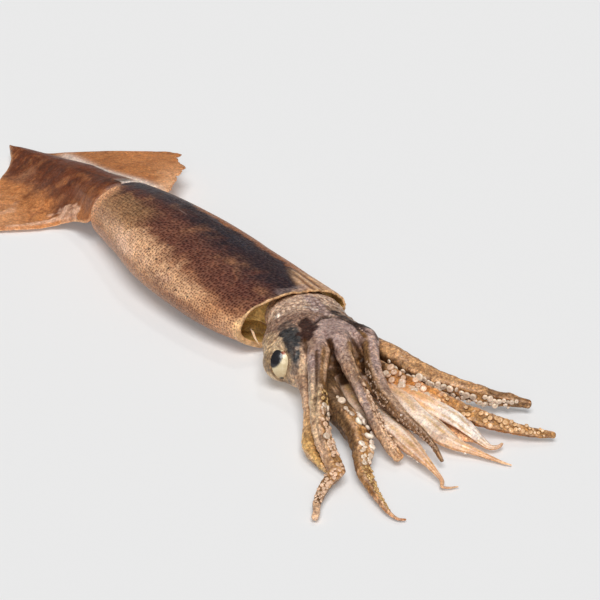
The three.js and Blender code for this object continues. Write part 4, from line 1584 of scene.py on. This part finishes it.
def sucker_tree():
    """Geometry nodes that set a hollow cup on each point, turned and scaled by the point's own values."""
    group = bpy.data.node_groups.new("Suckers", "GeometryNodeTree")
    keys = {}
    for name, kind, default in (
        ("Geometry", "Geometry", None),
        ("Sides", "Int", 10),
        ("Cup depth", "Float", 0.75),
        ("Neck", "Float", 0.55),
        ("Finish", "Material", None),
    ):
        socket = group.interface.new_socket(name, in_out="INPUT", socket_type="NodeSocket" + kind)
        if default is not None:
            socket.default_value = default
        keys[name] = socket.identifier
    leaving = group.interface.new_socket("Geometry", in_out="OUTPUT", socket_type="NodeSocketGeometry")
    tree = Tree(group)
    entry = tree.node("NodeGroupInput")
    given = {socket.name: Wire(tree, socket) for socket in entry.outputs}

    bulb = tree.wire("GeometryNodeMeshUVSphere", {"Segments": given["Sides"], "Rings": 7, "Radius": 1.0})
    parts = tree.node("ShaderNodeSeparateXYZ", {"Vector": tree.wire("GeometryNodeInputPosition")})
    x, y, z = (Wire(tree, output) for output in parts.outputs)
    dent = tree.math("EXPONENT", (x * x + y * y) * -4.0) * tree.step(z, 0.1, 0.5)
    pinch = 1 - (1 - given["Neck"]) * tree.step(z * -1.0, 0.0, 1.0)
    height = z * 0.8 - dent * given["Cup depth"]
    shaped = tree.wire("ShaderNodeCombineXYZ", {"X": x * pinch, "Y": y * pinch, "Z": height})
    # The dent's depth is stored as the mask for the shade painted into the cup.
    pitted = {"Geometry": bulb, "Name": "pit", "Value": dent}
    cup = tree.wire("GeometryNodeStoreNamedAttribute", pitted, data_type="FLOAT", domain="POINT")
    cup = tree.wire("GeometryNodeSetPosition", {"Geometry": cup, "Position": shaped})
    cup = tree.wire("GeometryNodeSetShadeSmooth", {"Geometry": cup})
    facing = tree.wire("GeometryNodeInputNamedAttribute", {"Name": "facing"}, data_type="FLOAT_VECTOR")
    girth = tree.wire("GeometryNodeInputNamedAttribute", {"Name": "girth"}, data_type="FLOAT")
    turned = tree.wire("FunctionNodeAlignRotationToVector", {"Vector": facing}, axis="Z")
    anchors = tree.wire("GeometryNodeMeshToPoints", {"Mesh": given["Geometry"]})
    cups = {"Points": anchors, "Instance": cup, "Rotation": turned, "Scale": girth}
    placed = tree.wire("GeometryNodeInstanceOnPoints", cups)
    real = tree.wire("GeometryNodeRealizeInstances", {"Geometry": placed})
    done = tree.wire("GeometryNodeSetMaterial", {"Geometry": real, "Material": given["Finish"]})
    tree.node("NodeGroupOutput", {leaving.identifier: done})
    return group, keys


SUCKER_SEED = 77
LOWEST_SUCKER = 0.7


def sucker_places():
    """Where every sucker sits, the way it faces, its radius and its colour."""
    rng = np.random.default_rng(SUCKER_SEED)
    rows = []

    def some(least, more):
        return least + more * rng.random()

    for name in LIMBS:
        limb = Limb(name)
        spread = math.radians(limb.facts.rows)
        for start, end, biggest, tone, gaps in limb.facts.cups:
            share, flip = start, 1
            while share < end:
                widest = min(biggest, 0.4 * float(limb.girth(np.array(share))))
                radius = widest * some(0.72, 0.4) * sizes().cup_scale
                angle = float(limb.mouth(np.array(share))) + flip * spread * some(0.3, 0.95)
                here = np.array([share, share + 0.004, share])
                around = np.array([angle, angle, angle + 0.05])
                point, ahead, beside = limb.surface(here, around)
                normal = unit(np.cross(beside - point, ahead - point))
                middle = limb.centre(np.array(share))
                normal = normal if normal @ (point - middle) > 0 else -normal
                facing = unit(normal + 0.3 * rng.normal(size=3))
                tint = colour(tone) * some(0.8, 0.4)
                if rng.random() > gaps:
                    rows.append((point + normal * radius * 0.2, facing, radius, tint))
                share += some(0.72, 0.3) * radius / limb.length
                flip = -flip
    skin = skin_of(*together([parts_of(bpy.data.objects[name].data) for name in (*LIMBS, "head")]))
    for x, y, z, radius in LOOSE_CUPS:
        place, normal = (np.array(found) for found in skin.find_nearest(Vector((x, y, z)))[:2])
        facing = unit(normal + (0.8, -0.5, 0.8) + 0.2 * rng.normal(size=3))
        tint = colour("cup") * some(0.78, 0.25)
        rows.append((place + normal * radius * 0.35, facing, radius, tint))
    return rows


def build_suckers():
    points, facing, girth, tint = (np.array(column) for column in zip(*sucker_places()))
    points[:, 2] = np.maximum(points[:, 2], LOWEST_SUCKER)
    mesh = raw_mesh("sucker_places", points, [])
    store(mesh, "facing", "FLOAT_VECTOR", "vector", facing)
    set_layers(mesh, girth=girth * MM, tint=tint)
    holder = new_object("sucker_places", mesh)
    group, keys = sucker_tree()
    modifier = holder.modifiers.new("Suckers", "NODES")
    modifier.node_group = group
    material = sucker_material()
    for name, value in {"Sides": 12, "Cup depth": 0.5, "Neck": 0.6, "Finish": material}.items():
        modifier[keys[name]] = value
    result = baked(holder)
    result.name = "suckers"
    return new_piece("suckers", result, material, "sucker", "squid")


# ---- Membrane ----


def build_membrane():
    """The thin strip of skin from the neck to the mantle's floor, in the opening."""
    stations = [(0, 80.1, -10.8, 9.5), (0.5, 82.2, -10.8, 7.2), (1, 83.8, -10, 5)]
    rows, columns, half_width, thickness = 40, 12, 0.9, 0.4
    path = through(stations, np.linspace(0, 1, rows))
    wide = np.array([0.6, 0.45, -0.65])
    middle = path[:, None] + np.linspace(-1, 1, columns)[None, :, None] * wide * half_width
    middle[..., 2] += 0.2 * cloud(middle, 2.0, 301)
    mesh = new_mesh("membrane", *sheet(middle, thickness))
    points = points_of(mesh)
    paint = Paint(points, "lip")
    paint.wash("neck", 0.5 + 0.5 * cloud(points, 3.0, 303))
    set_layers(mesh, tint=paint.tint, speckle=np.full(len(points), 0.1))
    return new_piece("membrane", mesh, skin_material("Membrane"), "head_skin", "squid")


# ---- Painted shade in hollows ----

RAY_REACH = 9.0
RAYS = 10
RAY_START = 0.35
# Further back than this the mantle lies in the open.
HOLLOWS_FROM_X = 62


def paint_shade_in_hollows():
    """Stores on every point how closed in it is, from rays to the skin around it, as the mask for the shade
    painted into hollows.
    """
    meshes = [o for o in bpy.context.scene.objects if o.type == "MESH" and not o.hide_render]
    pieces = [o for o in meshes if "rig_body" in o]
    skin = skin_of(*together([parts_of(piece.data) for piece in pieces]))
    golden = math.pi * (3 - math.sqrt(5))
    rays = []
    for i in range(RAYS):
        tall = 0.25 + 0.75 * (i + 0.5) / RAYS
        flat = math.sqrt(1 - tall * tall)
        rays.append((flat * math.cos(golden * i), flat * math.sin(golden * i), tall))
    for piece in pieces:
        points, normals = points_of(piece.data), normals_of(piece.data)
        hollow = np.zeros(len(points))
        wanted = range(len(points))
        if piece.name == "mantle":
            wanted = np.nonzero(points[:, 0] > HOLLOWS_FROM_X)[0]
        elif piece.name.startswith(("fins", "eyeball")):
            wanted = []
        helper = np.where(np.abs(normals[:, :1]) > 0.8, [[0, 1.0, 0]], [[1.0, 0, 0]])
        level = unit(np.cross(normals, helper))
        steep = np.cross(normals, level)
        for i in wanted:
            start = Vector(points[i] + normals[i] * RAY_START)
            ways = rays @ np.array([level[i], steep[i], normals[i]])
            found = [skin.ray_cast(start, Vector(way), RAY_REACH)[3] for way in ways]
            hollow[i] = sum((1 - 0.6 * far / RAY_REACH for far in found if far is not None), 0.0) / RAYS
        if "open" in piece.data.attributes:
            hollow *= numbers(piece.data.attributes["open"].data, "value", 1)[:, 0]
        set_layers(piece.data, hollow=hollow)


# ---- Studio ----


def look_from(azimuth, elevation):
    """The way from the squid to a camera there."""
    level = math.cos(elevation)
    return Vector((math.sin(azimuth) * level, -math.cos(azimuth) * level, math.sin(elevation)))


def build_stage():
    scene = bpy.context.scene
    studio = scene.rawsquid_studio
    lens = bpy.data.cameras.new("Camera")
    lens.lens = studio.lens
    lens.sensor_width = 36.0
    lens.clip_start, lens.clip_end = 0.01, 20.0
    camera = new_object("Camera", lens)
    back = look_from(studio.azimuth, studio.elevation)
    rotation = (-back).to_track_quat("-Z", "Y").to_matrix()
    right, up = rotation @ Vector((1, 0, 0)), rotation @ Vector((0, 1, 0))
    target = Vector((80, 6.5, 10.5)) * MM
    target_pixel = Vector((292.5, 318.0))
    frame_width = 600.0
    per_pixel = studio.distance * lens.sensor_width / lens.lens / frame_width
    offset = right * (frame_width / 2 - target_pixel.x) - up * (frame_width / 2 - target_pixel.y)
    camera.location = target + back * studio.distance + offset * per_pixel
    camera.rotation_euler = rotation.to_euler()
    scene.camera = camera

    white = (1.0, 1.0, 1.0, 1.0)
    scene.world = bpy.data.worlds.new("Surroundings")
    tree = empty_tree(scene.world)
    sky = tree.wire("ShaderNodeBackground", {"Color": white, "Strength": studio.sky})
    tree.node("ShaderNodeOutputWorld", {"Surface": sky})

    above, level_back = Vector((0, 0, 1)), Vector((back.x, back.y, 0)).normalized()
    for name, way, strength, spread in (
        ("Key", level_back * 0.65 + above, studio.key, 36),
        ("Fill", back, studio.fill, 28),
        ("Glint", above - level_back * 0.55 + right * 0.2, studio.glint, 8),
    ):
        sun = bpy.data.lights.new(name, "SUN")
        sun.energy = strength
        sun.angle = math.radians(spread)
        new_object(name, sun).rotation_euler = way.to_track_quat("Z", "Y").to_euler()

    half, under = 6.0, -0.0001
    mesh = bpy.data.meshes.new("floor")
    corners = [(-half, -half, under), (half, -half, under), (half, half, under), (-half, half, under)]
    mesh.from_pydata(corners, [], [(0, 1, 2, 3)])
    material = bpy.data.materials.new("Floor")
    empty_tree(material).surface({
        "Base Color": (*colour("floor"), 1.0),
        "Roughness": 1.0,
        "Specular IOR Level": 0.0,
        "Emission Color": white,
        "Emission Strength": studio.glow,
    })
    mesh.materials.append(material)
    new_object("floor", mesh)
    scene.view_settings.view_transform = "Standard"
    scene.view_settings.look = "None"


# ---- Operators and panel ----


def new_operator(key, label, description, build):
    """An operator class that builds one piece or group."""

    def execute(self, context):
        build()
        return {"FINISHED"}

    facts = {"bl_idname": f"rawsquid.{key}", "bl_label": label, "__doc__": description, "execute": execute}
    facts["bl_options"] = {"REGISTER", "UNDO"}
    return type(f"RAWSQUID_OT_{key}", (bpy.types.Operator,), facts)


OPERATORS = [new_operator(*row) for row in (
    ("mantle", "Mantle", "Builds the mantle with its rim and lining.", build_mantle),
    ("fins", "Fins", "Builds both fins and the skin over the tail.", build_fins),
    ("arms", "Arms", "Builds the eight arms and two tentacles.", build_arms),
    ("head", "Head", "Builds the head, fused with the arms' roots and webs.", build_head),
    ("eyes", "Eyes", "Builds both eyeballs.", build_eyes),
    ("suckers", "Suckers", "Builds the suckers along the arms.", build_suckers),
    ("membrane", "Membrane", "Builds the strip of skin in the mantle's opening.", build_membrane),
    # This step stores the mask for the shade painted into hollows.
    ("crevices", "Crevices", "Stores how closed in each point of the skin is.", paint_shade_in_hollows),
    ("stage", "Stage", "Builds the camera, the lights and the floor.", build_stage),
)]


class RAWSQUID_PT_sidebar(bpy.types.Panel):
    """Lists the squid's sizes, colours and pieces in the sidebar."""

    bl_label = "Raw squid"
    bl_idname = "RAWSQUID_PT_sidebar"
    bl_space_type = "VIEW_3D"
    bl_region_type = "UI"
    bl_category = "Squid"

    def draw(self, context):
        groups = (
            ("Sizes", context.scene.rawsquid_sizes),
            ("Colours", context.scene.rawsquid_colours),
            ("Studio", context.scene.rawsquid_studio),
        )
        for title, group in groups:
            box = self.layout.box()
            box.label(text=title)
            for name in type(group).__annotations__:
                box.prop(group, name)
        for operator in OPERATORS:
            self.layout.operator(operator.bl_idname)


GROUPS = {
    "rawsquid_sizes": RAWSQUID_PG_sizes,
    "rawsquid_colours": RAWSQUID_PG_colours,
    "rawsquid_studio": RAWSQUID_PG_studio,
}


def register():
    for item in (*GROUPS.values(), *OPERATORS, RAWSQUID_PT_sidebar):
        bpy.utils.register_class(item)
    for name, group in GROUPS.items():
        setattr(bpy.types.Scene, name, bpy.props.PointerProperty(type=group))


def unregister():
    for name in GROUPS:
        delattr(bpy.types.Scene, name)
    for item in (RAWSQUID_PT_sidebar, *reversed(OPERATORS), *GROUPS.values()):
        bpy.utils.unregister_class(item)


def main():
    register()
    for operator in OPERATORS:
        family, key = operator.bl_idname.split(".")
        getattr(getattr(bpy.ops, family), key)()


if __name__ == "__main__":
    main()
